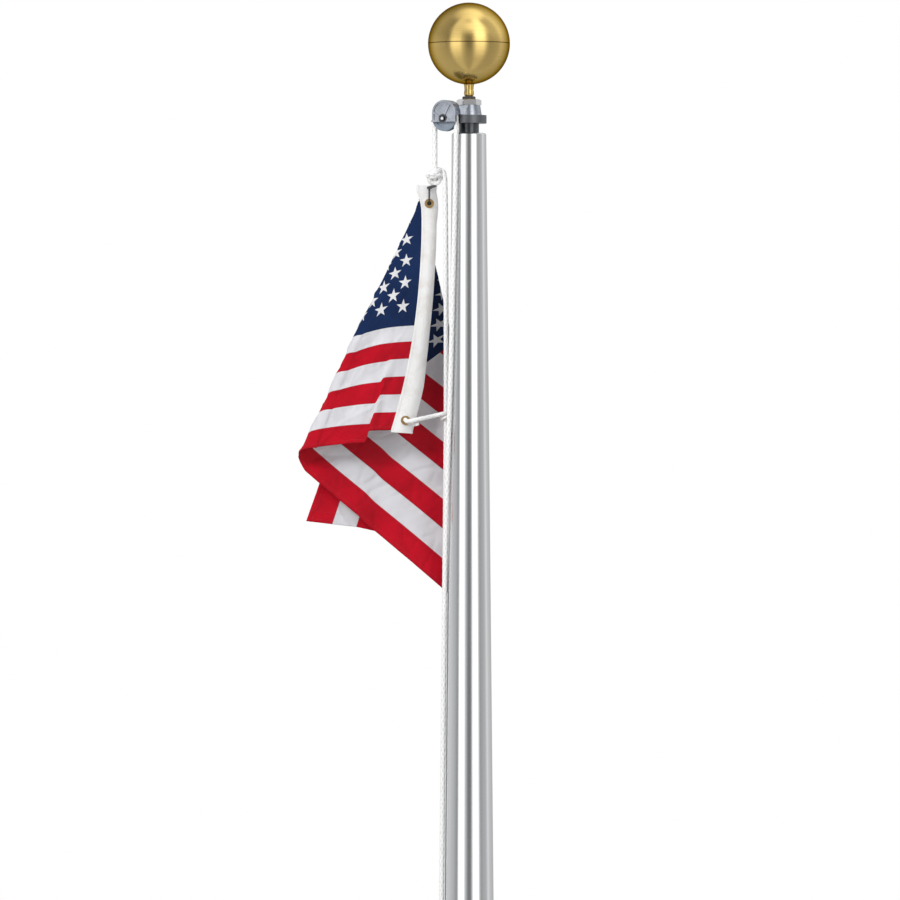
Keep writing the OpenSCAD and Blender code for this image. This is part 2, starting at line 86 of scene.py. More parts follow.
def add_floor():
    mesh = bpy.data.meshes.new("floor")
    reach = 8
    mesh.from_pydata([(-reach, -reach, 0), (reach, -reach, 0), (reach, reach, 0), (-reach, reach, 0)], [],
                     [(0, 1, 2, 3)])
    floor = bpy.data.objects.new("floor", mesh)
    bpy.context.scene.collection.objects.link(floor)
    _, _, paint = new_material("floor_paint", (0.86, 0.86, 0.85), roughness=0.9)
    mesh.materials.append(paint)
    floor.visible_glossy = False


def add_area_light(name, location, size, power):
    data = bpy.data.lights.new(name, "AREA")
    data.shape = "RECTANGLE"
    data.size, data.size_y = size
    data.energy = power
    light = bpy.data.objects.new(name, data)
    light.location = location
    aim = Vector((0, 0, TOP - 0.3)) - light.location
    light.rotation_euler = aim.to_track_quat("-Z", "Y").to_euler()
    light.visible_glossy = False
    bpy.context.scene.collection.objects.link(light)


# Soft boxes and dark gaps that the studio holds, as (degrees to the right of the camera, level)
STUDIO = [
    (-180, 0.5), (-150, 0.56), (-112, 0.66), (-75, 0.46), (-62, 0.3), (-57, 0.3), (-52, 1.3), (-40, 1.5),
    (-32, 1.3), (-26, 1.45), (-19, 0.6), (-11, 0.42), (-6, 0.2), (9, 0.18), (15, 0.7), (22, 1.5), (44, 1.5),
    (50, 0.75), (58, 0.33), (72, 0.42), (92, 0.5), (104, 0.8), (116, 0.62), (150, 0.5), (180, 0.5),
]
STUDIO_TOP = 1.6


def add_studio():
    """Surround light: soft upright bands around the pole, plain white where the camera sees it."""
    world = bpy.data.worlds.new("studio")
    bpy.context.scene.world = world
    world.use_nodes = True
    world.node_tree.nodes.clear()
    n = Nodes(world.node_tree)
    coords = n.add("ShaderNodeTexCoord")
    split = n.split(coords.outputs["Generated"])
    turn = n.math("ARCTAN2", split["X"], n.times(split["Y"], -1.0))
    ramp = n.add("ShaderNodeValToRGB")
    n.link(n.span(turn, -math.pi, math.pi), ramp.inputs["Fac"])
    stops = ramp.color_ramp.elements
    for i, (angle, level) in enumerate(STUDIO):
        place_at = (angle + 180) / 360
        last = i == len(STUDIO) - 1
        stop = stops[0] if i == 0 else stops[len(stops) - 1] if last else stops.new(place_at)
        stop.color = (level / STUDIO_TOP,) * 3 + (1,)
    # The bands give way to an even ceiling overhead and to a paler floor below
    low = n.span(split["Z"], -0.05, -0.7, 0.0, 0.8)
    bands = n.mix(low, ramp.outputs["Color"], (0.3, 0.3, 0.3, 1))
    overhead = n.span(split["Z"], 0.85, 0.97)
    before = n.times(n.span(split["Z"], 0.36, 0.7), n.span(split["Y"], -0.3, -0.6))
    light = n.mix(n.math("MAXIMUM", overhead, before), bands, (0.8, 0.8, 0.8, 1))
    surround = n.add("ShaderNodeBackground")
    n.link(light, surround.inputs["Color"])
    path = n.add("ShaderNodeLightPath")
    # Level bands are stronger a little above the horizon, and everything is softer on matt surfaces
    side = n.span(split["X"], -0.3, 0.35, 0.72, 1.4)
    above = n.span(split["Z"], 0.03, 0.35)
    rise = n.times(n.plus(1.0, n.times(above, n.minus(side, 1.0))), STUDIO_TOP)
    matt = n.minus(1.0, n.times(path.outputs["Is Diffuse Ray"], 0.3))
    n.link(n.times(rise, matt), surround.inputs["Strength"])
    plain = n.add("ShaderNodeBackground")
    plain.inputs["Color"].default_value = (1, 1, 1, 1)
    mix = n.add("ShaderNodeMixShader")
    n.link(path.outputs["Is Camera Ray"], mix.inputs["Fac"])
    n.link(surround.outputs[0], mix.inputs[1])
    n.link(plain.outputs[0], mix.inputs[2])
    n.link(mix.outputs[0], n.add("ShaderNodeOutputWorld").inputs["Surface"])


# ---------------------------------------------------------------- node helpers

class Nodes:
    """Short way to write a material's or a group's nodes."""

    def __init__(self, tree):
        self.tree = tree

    def add(self, kind, **values):
        made = self.tree.nodes.new(kind)
        for key, value in values.items():
            setattr(made, key, value)
        return made

    def link(self, a, b):
        self.tree.links.new(a, b)

    def feed(self, socket, value):
        if isinstance(value, bpy.types.NodeSocket):
            self.link(value, socket)
        else:
            socket.default_value = value

    def math(self, operation, a, b=None):
        made = self.add("ShaderNodeMath", operation=operation)
        for socket, value in zip(made.inputs, (a, b)):
            if value is not None:
                self.feed(socket, value)
        return made.outputs[0]

    def plus(self, a, b):
        return self.math("ADD", a, b)

    def minus(self, a, b):
        return self.math("SUBTRACT", a, b)

    def times(self, a, b):
        return self.math("MULTIPLY", a, b)

    def reach(self, a, b):
        """Length of the flat vector (a, b)."""
        return self.math("SQRT", self.plus(self.times(a, a), self.times(b, b)))

    def mix(self, factor, a, b):
        made = self.add("ShaderNodeMix", data_type="RGBA")
        self.feed(made.inputs["Factor"], factor)
        self.feed(made.inputs["A"], a)
        self.feed(made.inputs["B"], b)
        return made.outputs["Result"]

    def span(self, value, low, high, to_low=0.0, to_high=1.0):
        made = self.add("ShaderNodeMapRange")
        self.feed(made.inputs["Value"], value)
        for name, number in zip(("From Min", "From Max", "To Min", "To Max"), (low, high, to_low, to_high)):
            made.inputs[name].default_value = number
        return made.outputs["Result"]

    def noise(self, vector, scale, detail, roughness):
        made = self.add("ShaderNodeTexNoise")
        self.link(vector, made.inputs["Vector"])
        made.inputs["Scale"].default_value = scale
        made.inputs["Detail"].default_value = detail
        made.inputs["Roughness"].default_value = roughness
        return made.outputs["Fac"]

    def object_coords(self, scale=(1, 1, 1)):
        coords = self.add("ShaderNodeTexCoord")
        mapping = self.add("ShaderNodeMapping")
        self.link(coords.outputs["Object"], mapping.inputs["Vector"])
        mapping.inputs["Scale"].default_value = scale
        return mapping.outputs["Vector"]

    def split(self, vector):
        made = self.add("ShaderNodeSeparateXYZ")
        self.link(vector, made.inputs[0])
        return made.outputs

    def uv(self):
        at = self.split(self.add("ShaderNodeUVMap", uv_map="UVMap").outputs["UV"])
        return at["X"], at["Y"]

    def group(self, tree, **values):
        made = self.add("ShaderNodeGroup")
        made.node_tree = tree
        for key, value in values.items():
            self.feed(made.inputs[key.replace("_", " ")], value)
        return made.outputs

    def bump(self, height, distance, strength):
        made = self.add("ShaderNodeBump")
        self.link(height, made.inputs["Height"])
        made.inputs["Distance"].default_value = distance
        made.inputs["Strength"].default_value = strength
        return made.outputs["Normal"]


def new_material(name, color, roughness=0.5, metallic=0.0, **constants):
    """A Principled material: its node helper, its shader and itself."""
    material = bpy.data.materials.new(name)
    material.use_nodes = True
    nodes = Nodes(material.node_tree)
    shader = material.node_tree.nodes["Principled BSDF"]
    shader.inputs["Base Color"].default_value = (*color, 1)
    shader.inputs["Roughness"].default_value = roughness
    shader.inputs["Metallic"].default_value = metallic
    for key, value in constants.items():
        shader.inputs[key.replace("_", " ")].default_value = value
    material.diffuse_color = (*color, 1)
    return nodes, shader, material


def new_group(name, inputs, outputs):
    tree = bpy.data.node_groups.new(name, "ShaderNodeTree")
    for label, kind, value in inputs:
        socket = tree.interface.new_socket(label, in_out="INPUT", socket_type=kind)
        if value is not None:
            socket.default_value = value
    for label, kind in outputs:
        tree.interface.new_socket(label, in_out="OUTPUT", socket_type=kind)
    nodes = Nodes(tree)
    return tree, nodes, nodes.add("NodeGroupInput"), nodes.add("NodeGroupOutput")


def metal_wear_group():
    """Uneven sheen of handled metal: faint cloudy staining, small specks and fine grain."""
    tree, n, start, end = new_group(
        "metal_wear",
        [("Vector", "NodeSocketVector", None), ("Cloud Scale", "NodeSocketFloat", 30.0),
         ("Grain Scale", "NodeSocketFloat", 900.0), ("Staining", "NodeSocketFloat", 0.3)],
        [("Stain", "NodeSocketFloat"), ("Grain", "NodeSocketFloat"), ("Specks", "NodeSocketFloat")])
    cloud = n.add("ShaderNodeTexNoise")
    cloud.inputs["Detail"].default_value = 5
    n.link(start.outputs["Vector"], cloud.inputs["Vector"])
    n.link(start.outputs["Cloud Scale"], cloud.inputs["Scale"])
    grain = n.add("ShaderNodeTexNoise")
    grain.inputs["Detail"].default_value = 3
    grain.inputs["Roughness"].default_value = 0.7
    n.link(start.outputs["Vector"], grain.inputs["Vector"])
    n.link(start.outputs["Grain Scale"], grain.inputs["Scale"])
    stain = n.times(n.span(cloud.outputs["Fac"], 0.35, 0.75), start.outputs["Staining"])
    n.link(stain, end.inputs["Stain"])
    n.link(grain.outputs["Fac"], end.inputs["Grain"])
    n.link(n.span(grain.outputs["Fac"], 0.66, 0.72), end.inputs["Specks"])
    return tree


def weave_group():
    """Plain weave from a piece's own UV map: thread height and the gaps between threads."""
    tree, n, start, end = new_group(
        "plain_weave",
        [("U", "NodeSocketFloat", 0.0), ("V", "NodeSocketFloat", 0.0),
         ("Threads U", "NodeSocketFloat", 400.0), ("Threads V", "NodeSocketFloat", 300.0)],
        [("Height", "NodeSocketFloat")])
    across = n.times(start.outputs["U"], start.outputs["Threads U"])
    along = n.times(start.outputs["V"], start.outputs["Threads V"])
    checker = n.math("PINGPONG", n.plus(n.math("FLOOR", across), n.math("FLOOR", along)), 1.0)
    warp = n.math("ABSOLUTE", n.math("SINE", n.times(across, math.pi)))
    weft = n.math("ABSOLUTE", n.math("SINE", n.times(along, math.pi)))
    over = n.times(checker, weft)
    under = n.times(n.minus(1.0, checker), warp)
    n.link(n.plus(over, under), end.inputs["Height"])
    return tree


# ---------------------------------------------------------------- metals

def satin_aluminium(wear):
    """Drawn tube, sanded round and round, with faint draw lines along it."""
    n, shader, material = new_material("satin_aluminium", (0.86, 0.87, 0.88), 0.2, 1.0)
    rings = n.noise(n.object_coords((3, 3, 1500)), 1.0, 4, 0.7)
    draw = n.noise(n.object_coords((260, 260, 0.8)), 1.0, 3, 0.6)
    soil = n.group(wear, Vector=n.object_coords((1, 1, 0.5)), Cloud_Scale=9.0, Grain_Scale=1400.0,
                   Staining=0.35)
    shade = n.mix(soil["Stain"], (0.87, 0.88, 0.89, 1), (0.74, 0.76, 0.78, 1))
    n.link(n.mix(n.span(draw, 0.3, 0.8), shade, (0.8, 0.82, 0.84, 1)), shader.inputs["Base Color"])
    rough = n.plus(n.span(rings, 0.3, 0.7, 0.08, 0.19), n.times(soil["Stain"], 0.15))
    n.link(rough, shader.inputs["Roughness"])
    n.link(n.bump(n.plus(rings, n.times(draw, 0.5)), 0.00003, 0.35), shader.inputs["Normal"])
    return material


def axle_distance(n):
    """Distance from the pulley axle's centre line."""
    at = n.split(n.object_coords())
    across = n.minus(n.times(at["X"], math.cos(TRUCK_TURN)), n.times(at["Y"], math.sin(TRUCK_TURN)))
    return n.reach(n.minus(across, SHEAVE_X), n.minus(at["Z"], TOP + AXLE_Z))


def cast_aluminium(wear, name, light, dark, flange_stain_and_axle_shade=False):
    """Sand-cast skin: pebbled and darker in its low spots; `flange_stain_and_axle_shade` darkens the truck's
    flange and paints shade in the ring around the axle's head.
    """
    n, shader, material = new_material(name, light, 0.3, 1.0)
    marks = n.group(wear, Vector=n.object_coords(), Cloud_Scale=70.0, Grain_Scale=1100.0, Staining=0.8)
    pits = n.noise(n.object_coords(), 520, 5, 0.7)
    tone = n.mix(marks["Stain"], (*light, 1), (*dark, 1))
    tone = n.mix(n.span(pits, 0.5, 0.66, 0.0, 0.6), tone, (*dark, 1))
    rough = n.span(marks["Grain"], 0.3, 0.75, 0.2, 0.36)
    if flange_stain_and_axle_shade:
        at = n.split(n.object_coords())
        reach = n.reach(at["X"], at["Y"])
        rim = n.times(n.span(reach, 0.0168, 0.0185), n.span(at["Z"], TOP + 0.0232, TOP + 0.0222))
        rim = n.times(rim, n.span(reach, 0.0235, 0.0222))
        tone = n.mix(n.times(rim, 0.8), tone, (0.12, 0.125, 0.13, 1))
        # Painted shade in the ring around the axle's head, where it sits in a dark recess
        tone = n.mix(n.span(axle_distance(n), 0.0062, 0.0052, 0.0, 0.85), tone, (0.05, 0.055, 0.06, 1))
        rough = n.plus(rough, n.times(rim, 0.15))
    n.link(tone, shader.inputs["Base Color"])
    n.link(rough, shader.inputs["Roughness"])
    n.link(n.bump(n.plus(pits, n.times(marks["Grain"], 0.3)), 0.00006, 0.6),
           shader.inputs["Normal"])
    return material


def turned_metal(wear, name, color, roughness, worn, shaded_axle_rim=False):
    """Lathe-turned or plated metal with fine rings; `shaded_axle_rim` paints shade on the rim of the axle's
    end.
    """
    n, shader, material = new_material(name, color, roughness, 1.0)
    rings = n.noise(n.object_coords((20, 20, 5200)), 1.0, 3, 0.6)
    marks = n.group(wear, Vector=n.object_coords(), Cloud_Scale=60.0, Grain_Scale=1800.0, Staining=0.5)
    tone = n.mix(marks["Stain"], (*color, 1), (*worn, 1))
    # Painted shade on the rim of the axle's end, dark around its bright centre
    if shaded_axle_rim:
        tone = n.mix(n.span(axle_distance(n), 0.0014, 0.0021), tone, (0.06, 0.06, 0.065, 1))
    n.link(tone, shader.inputs["Base Color"])
    n.link(n.plus(n.span(rings, 0.25, 0.75, roughness * 0.7, roughness * 1.3),
                  n.times(marks["Stain"], 0.15)), shader.inputs["Roughness"])
    n.link(n.bump(rings, 0.00002, 0.5), shader.inputs["Normal"])
    return material


def gold_shell(wear):
    """Gold anodised spinning: silky, with rings from the lathe and a shadow line at its seam."""
    n, shader, material = new_material("gold_shell", (0.8, 0.58, 0.2), 0.2, 1.0)
    shader.inputs["Specular Tint"].default_value = (0.3, 0.2, 0.09, 1)
    rings = n.noise(n.object_coords((12, 12, 2600)), 1.0, 4, 0.7)
    marks = n.group(wear, Vector=n.object_coords(), Cloud_Scale=26.0, Grain_Scale=1300.0, Staining=0.4)
    tone = n.mix(n.span(rings, 0.3, 0.7), (0.84, 0.62, 0.23, 1), (0.75, 0.53, 0.17, 1))
    tone = n.mix(marks["Stain"], tone, (0.6, 0.41, 0.14, 1))
    from_seam = n.math("ABSOLUTE", n.minus(n.split(n.object_coords())["Z"], BALL_Z))
    seam = n.span(from_seam, 0.0008, 0.0004)
    tone = n.mix(n.times(seam, 0.75), tone, (0.16, 0.1, 0.03, 1))
    # Painted shade: the shell's colour darkens to deep olive towards its outline
    facing = n.add("ShaderNodeLayerWeight")
    facing.inputs["Blend"].default_value = 0.3
    outline_shade = n.span(facing.outputs["Facing"], 0.3, 0.85, 0.0, 0.6)
    n.link(n.mix(outline_shade, tone, (0.3, 0.21, 0.07, 1)), shader.inputs["Base Color"])
    n.link(n.plus(n.span(rings, 0.2, 0.8, 0.15, 0.26), n.times(marks["Specks"], 0.12)),
           shader.inputs["Roughness"])
    n.link(n.bump(rings, 0.00004, 0.6), shader.inputs["Normal"])
    return material


def sheave_finish(wear):
    """Moulded or anodised slate-blue pulley with turning marks and rope shine."""
    n, shader, material = new_material("sheave_finish", (0.2, 0.24, 0.3), 0.38, 0.35)
    marks = n.group(wear, Vector=n.object_coords(), Cloud_Scale=90.0, Grain_Scale=1500.0, Staining=0.7)
    n.link(n.mix(marks["Stain"], (0.2, 0.245, 0.31, 1), (0.33, 0.37, 0.42, 1)), shader.inputs["Base Color"])
    n.link(n.span(marks["Grain"], 0.3, 0.7, 0.28, 0.5), shader.inputs["Roughness"])
    n.link(n.bump(marks["Grain"], 0.00008, 0.6), shader.inputs["Normal"])
    return material


# ---------------------------------------------------------------- cloth and rope finishes

def rope_fibre():
    """White braided nylon: fine filaments that lie along each plait."""
    n, shader, material = new_material("rope_fibre", (0.86, 0.86, 0.85), 0.75, 0.0, Sheen_Weight=0.35,
                                       Sheen_Roughness=0.4)
    around, along = n.uv()
    turned_by, risen_by = n.times(around, float(PLAITS)), n.math("DIVIDE", along, PLAIT)
    left, right = n.plus(turned_by, risen_by), n.minus(turned_by, risen_by)
    turns = 2 * math.pi
    strand_left = n.math("COSINE", n.times(left, turns))
    strand_right = n.math("COSINE", n.times(right, turns))
    over = n.math("MAXIMUM", strand_left, strand_right)
    filaments = n.math("SINE", n.times(n.plus(left, right), 90.0))
    soil = n.noise(n.object_coords(), 160, 4, 0.6)
    # Painted shade: the colour is darker where the strands dip between plaits than on their crowns
    gap = n.span(over, -0.2, 0.75)
    tone = n.mix(gap, (0.8, 0.8, 0.8, 1), (0.95, 0.95, 0.945, 1))
    n.link(n.mix(n.times(n.span(soil, 0.5, 0.8), 0.25), tone, (0.66, 0.63, 0.58, 1)),
           shader.inputs["Base Color"])
    height = n.plus(over, n.times(filaments, 0.12))
    n.link(n.bump(height, 0.0002, 0.5), shader.inputs["Normal"])
    return material


def header_canvas(weave):
    """Heavy white duck, a little soiled along its edges, with painted shade for the hole inside the upper
    brass ring.
    """
    n, shader, material = new_material("header_canvas", (0.85, 0.85, 0.84), 0.88, 0.0, Sheen_Weight=0.2)
    across, along = n.uv()
    cloth = n.group(weave, U=across, V=along, Threads_U=34.0, Threads_V=420.0)
    soil = n.noise(n.object_coords(), 55, 5, 0.6)
    folds = n.noise(n.object_coords((1, 1, 0.35)), 120, 3, 0.5)
    edge = n.math("ABSOLUTE", n.minus(across, 0.5))
    crease = n.span(edge, 0.36, 0.4)
    tone = n.mix(n.span(soil, 0.45, 0.8), (0.9, 0.9, 0.895, 1), (0.78, 0.74, 0.7, 1))
    # Painted shade in the gaps between the canvas threads
    tone = n.mix(n.times(n.minus(1.0, cloth["Height"]), 0.14), tone, (0.5, 0.5, 0.5, 1))
    # Painted shade: a near-black disc inside the upper brass ring stands for the hole and the shadow in it,
    # where the canvas is not cut
    at = n.split(n.object_coords())
    reach = n.reach(n.minus(at["X"], GROMMET_UP[0]), n.minus(at["Z"], GROMMET_UP[1]))
    tone = n.mix(n.span(reach, 0.0032, 0.0028), tone, (0.035, 0.033, 0.03, 1))
    n.link(tone, shader.inputs["Base Color"])
    weave_height = n.times(cloth["Height"], 0.35)
    height = n.plus(n.plus(weave_height, n.times(crease, 0.8)),
                    n.times(folds, 3.0))
    n.link(n.bump(height, 0.0004, 0.8), shader.inputs["Normal"])
    return material


STAR_R = 9.2 * MM
FLY, HOIST = 0.457, 0.305
CANTON_FLY, CANTON_HOIST = 0.4, 7 / 13
STAR_COLUMNS, STAR_ROWS = 11, 9
STAR_FIRST = (0.044, 0.081)
STAR_STEP = (0.0322, 0.0466)


def star_mask(n, u, v, shift):
    """1 inside the five-pointed stars whose column and row numbers both leave `shift` over, halved."""
    column = n.math("DIVIDE", n.minus(u, STAR_FIRST[0]), STAR_STEP[0])
    row = n.math("DIVIDE", n.minus(v, STAR_FIRST[1]), STAR_STEP[1])

    def offset(value):
        pair = n.math("ROUND", n.math("DIVIDE", n.minus(value, float(shift)), 2.0))
        near = n.plus(n.times(pair, 2.0), float(shift))
        return n.minus(value, near), near

    x, near_column = offset(column)
    y, near_row = offset(row)
    across = n.times(x, STAR_STEP[0] * FLY)
    up = n.times(y, -STAR_STEP[1] * HOIST)
    radius = n.reach(across, up)
    angle = n.math("PINGPONG", n.math("ARCTAN2", across, up), math.pi / 5)
    point = math.radians(72)
    edge = n.plus(n.times(n.math("COSINE", angle), math.cos(point)),
                  n.times(n.math("SINE", angle), math.sin(point)))
    reach = n.times(radius, edge)
    inside = n.span(reach, STAR_R * math.cos(point) + 0.0001, STAR_R * math.cos(point) - 0.0001)
    for value, last in ((near_column, STAR_COLUMNS - 1), (near_row, STAR_ROWS - 1)):
        inside = n.times(inside, n.math("GREATER_THAN", value, -0.5))
        inside = n.times(inside, n.math("LESS_THAN", value, last + 0.5))
    return inside


def flag_nylon(weave):
    """Thirteen sewn stripes and a blue canton with embroidered stars, drawn from the cloth's own UV."""
    n, shader, material = new_material("flag_nylon", (0.6, 0.05, 0.1), 0.62, 0.0, Sheen_Weight=0.04,
                                       Sheen_Roughness=0.35, Specular_IOR_Level=0.22)
    u, up = n.uv()
    v = n.minus(1.0, up)
    stripes = n.times(v, 13.0)
    is_white = n.math("GREATER_THAN", n.math("MODULO", stripes, 2.0), 1.0)
    in_canton = n.times(n.math("LESS_THAN", u, CANTON_FLY), n.math("LESS_THAN", v, CANTON_HOIST))
    stars = n.math("MAXIMUM", star_mask(n, u, v, 0), star_mask(n, u, v, 1))
    stars = n.times(stars, in_canton)
    cloth = n.group(weave, U=u, V=v, Threads_U=620.0, Threads_V=420.0)
    fade = n.noise(n.object_coords(), 24, 4, 0.55)
    slub = n.noise(n.object_coords(), 420, 3, 0.6)
    red = n.mix(n.span(fade, 0.35, 0.7), (0.64, 0.004, 0.02, 1), (0.52, 0.003, 0.016, 1))
    white = n.mix(n.span(fade, 0.3, 0.75), (0.86, 0.86, 0.89, 1), (0.78, 0.775, 0.81, 1))
    blue = n.mix(n.span(fade, 0.35, 0.7), (0.009, 0.03, 0.11, 1), (0.006, 0.021, 0.082, 1))
    tone = n.mix(is_white, red, white)
    tone = n.mix(in_canton, tone, blue)
    tone = n.mix(stars, tone, (0.88, 0.88, 0.9, 1))
    # Threads catch the light and the gaps between them stay a little darker
    shade = n.times(n.minus(1.0, cloth["Height"]), 0.16)
    tone = n.mix(shade, tone, n.mix(0.5, tone, (0.02, 0.02, 0.03, 1)))
    # Seam lines: two folded edges beside each stripe's joint, and painted shade in the thin groove at the
    # joint
    near_seam = n.math("ABSOLUTE", n.minus(n.math("FRACT", n.plus(stripes, 0.5)), 0.5))
    outside = n.minus(1.0, in_canton)
    seam = n.times(n.span(near_seam, 0.16, 0.12), outside)
    seam_groove_shade = n.times(n.span(near_seam, 0.018, 0.004), outside)
    tone = n.mix(n.times(seam_groove_shade, 0.35), tone, (0.05, 0.02, 0.03, 1))
    n.link(tone, shader.inputs["Base Color"])
    n.link(n.span(slub, 0.3, 0.7, 0.55, 0.78), shader.inputs["Roughness"])
    hem = n.span(u, 0.962, 0.966)
    hem = n.math("MAXIMUM", hem, n.math("MAXIMUM", n.span(v, 0.978, 0.982), n.span(v, 0.022, 0.018)))
    raised = n.plus(n.times(seam, 0.7), n.plus(n.times(stars, 0.9), hem))
    height = n.plus(raised, n.times(cloth["Height"], 0.12))
    height = n.plus(height, n.times(slub, 0.5))
    normal = n.bump(height, 0.00035, 0.7)
    n.link(normal, shader.inputs["Normal"])
    # Thin cloth lets part of the light through
    glow = n.add("ShaderNodeBsdfTranslucent")
    n.link(tone, glow.inputs["Color"])
    n.link(normal, glow.inputs["Normal"])
    both = n.add("ShaderNodeMixShader")
    both.inputs["Fac"].default_value = 0.22
    n.link(shader.outputs[0], both.inputs[1])
    n.link(glow.outputs[0], both.inputs[2])
    n.link(both.outputs[0], n.tree.nodes["Material Output"].inputs["Surface"])
    return material


def thread_finish(name, color):
    n, shader, material = new_material(name, color, 0.6, 0.0, Sheen_Weight=0.3)
    twist = n.noise(n.object_coords(), 5000, 2, 0.5)
    n.link(n.mix(n.span(twist, 0.3, 0.7), (*color, 1), (*[c * 0.8 for c in color], 1)),
           shader.inputs["Base Color"])
    n.link(n.bump(twist, 0.0001, 0.5), shader.inputs["Normal"])
    return material


# ---------------------------------------------------------------- mesh helpers

def mesh_piece(name, points, faces, material, uvs):
    """A plain, smooth mesh object. uvs holds one (u, v) pair for each corner of each face."""
    mesh = bpy.data.meshes.new(name)
    mesh.from_pydata([tuple(p) for p in points], [], [tuple(f) for f in faces])
    layer = mesh.uv_layers.new(name="UVMap")
    layer.data.foreach_set("uv", np.asarray(uvs, float).ravel())
    mesh.polygons.foreach_set("use_smooth", [True] * len(mesh.polygons))
    mesh.materials.append(material)
    mesh.update()
    piece = bpy.data.objects.new(name, mesh)
    bpy.context.scene.collection.objects.link(piece)
    return piece


def between(t, k, q, j, reach):
    """The curve's value between knots j and j + reach, from its two neighbours."""
    span = k[j + reach] - k[j]
    return (k[j + reach] - t) / span * q[j] + (t - k[j]) / span * q[j + 1]


def smooth_route(points, step):
    """Points every `step` along a rounded curve through the given points."""
    p = np.asarray(points, float)
    knots = np.concatenate([[0], np.cumsum(np.sqrt(np.linalg.norm(np.diff(p, axis=0), axis=1)))])
    ends = np.vstack([2 * p[0] - p[1], p, 2 * p[-1] - p[-2]])
    times = np.concatenate([[2 * knots[0] - knots[1]], knots, [2 * knots[-1] - knots[-2]]])
    dense = []
    for i in range(1, len(p)):
        t = np.linspace(times[i], times[i + 1], 40, endpoint=i == len(p) - 1)[:, None]
        q, k = ends[i - 1:i + 3], times[i - 1:i + 3]
        a = [between(t, k, q, j, 1) for j in range(3)]
        b = [between(t, k, a, j, 2) for j in range(2)]
        dense.append((k[2] - t) / (k[2] - k[1]) * b[0] + (t - k[1]) / (k[2] - k[1]) * b[1])
    return even_route(np.vstack(dense), step)


def even_route(line, step):
    along = np.concatenate([[0], np.cumsum(np.linalg.norm(np.diff(line, axis=0), axis=1))])
    count = max(3, int(round(along[-1] / step)) + 1)
    at = np.linspace(0, along[-1], count)
    return np.stack([np.interp(at, along, line[:, k]) for k in range(3)], axis=1)


def ring_vectors(line):
    """Tangents, and two vectors across the line that turn as little as they can."""
    tangent = np.gradient(line, axis=0)
    tangent /= np.linalg.norm(tangent, axis=1)[:, None]
    side = np.zeros_like(line)
    last = np.cross(tangent[0], (0.21, 0.97, 0.13))
    for i, t in enumerate(tangent):
        last = last - t * (last @ t)
        last /= np.linalg.norm(last)
        side[i] = last
    return tangent, side, np.cross(tangent, side)


def rope_piece(name, line, material, radius=ROPE_R):
    """A braided rope along a line of even points: a tube whose skin rises at each plait."""
    sides, relief = 24, 0.045
    _, side, other = ring_vectors(line)
    step = np.linalg.norm(line[1] - line[0])
    along = np.arange(len(line)) * step
    turn = np.arange(sides) / sides
    wave = 2 * math.pi
    plait = PLAIT * radius / ROPE_R
    left = np.cos(wave * (PLAITS * turn[None] + along[:, None] / plait))
    right = np.cos(wave * (PLAITS * turn[None] - along[:, None] / plait))
    r = radius * (1 - relief + relief * np.maximum(left, right))
    # Ends are closed in a dome
    for ring, share in ((0, 0.55), (1, 0.9), (-1, 0.55), (-2, 0.9)):
        r[ring] *= share
    ring_points = (line[:, None] + r[..., None] * (np.cos(wave * turn)[None, :, None] * side[:, None]
                                                   + np.sin(wave * turn)[None, :, None] * other[:, None]))
    points = np.concatenate([ring_points.reshape(-1, 3), line[:1], line[-1:]])
    i, k = np.meshgrid(np.arange(len(line) - 1), np.arange(sides), indexing="ij")
    a, b = i * sides + k, i * sides + (k + 1) % sides
    faces = np.stack([a, b, b + sides, a + sides], axis=-1).reshape(-1, 4)
    u0, u1 = k / sides, (k + 1) / sides
    v0, v1 = i * step, (i + 1) * step
    uvs = np.stack([u0, v0, u1, v0, u1, v1, u0, v1], axis=-1).reshape(-1, 2)
    first, last = len(points) - 2, len(points) - 1
    base = (len(line) - 1) * sides
    caps = [(first, (q + 1) % sides, q) for q in range(sides)]
    caps += [(last, base + q, base + (q + 1) % sides) for q in range(sides)]
    cap_uvs = [(q / sides, 0.0) for q in range(sides) for _ in range(3)]
    cap_uvs += [(q / sides, along[-1]) for q in range(sides) for _ in range(3)]
    return mesh_piece(name, points, [*faces.tolist(), *caps], material, np.concatenate([uvs, cap_uvs]))


def join_pieces(name, pieces):
    """One mesh object made of several."""
    bpy.ops.object.select_all(action="DESELECT")
    for piece in pieces:
        piece.select_set(True)
    bpy.context.view_layer.objects.active = pieces[0]
    bpy.ops.object.join()
    pieces[0].name = name
    pieces[0].data.name = name
    return pieces[0]


def place(piece, replaces=()):
    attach(piece, BODY)
    if replaces:
        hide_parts(*replaces)
    return piece


# ---------------------------------------------------------------- halyard

def turned(x, y, z):
    """From the truck's frame to the part's."""
    c, s = math.cos(TRUCK_TURN), math.sin(TRUCK_TURN)
    return (x * c + y * s, y * c - x * s, z + TOP)


def tube_r(z):
    return BUTT_R if z < TAPER_Z else BUTT_R + (TOP_R - BUTT_R) * (z - TAPER_Z) / TAPER


def lane(z, degrees):
    """A point beside the tube, clear of it by a hair."""
    r = tube_r(z) + ROPE_R + ROPE_GAP
    return (r * math.cos(math.radians(degrees)), r * math.sin(math.radians(degrees)), z)


def spread(z):
    """Half the angle, in degrees, between the two falls where they hang side by side."""
    room = ROPE_R + ROPE_GAP
    return math.degrees(math.asin(room / (tube_r(z) + room)))


def beside(origin, offsets):
    """Points at offsets in mm from an origin."""
    return [tuple(start + step * MM for start, step in zip(origin, offset)) for offset in offsets]


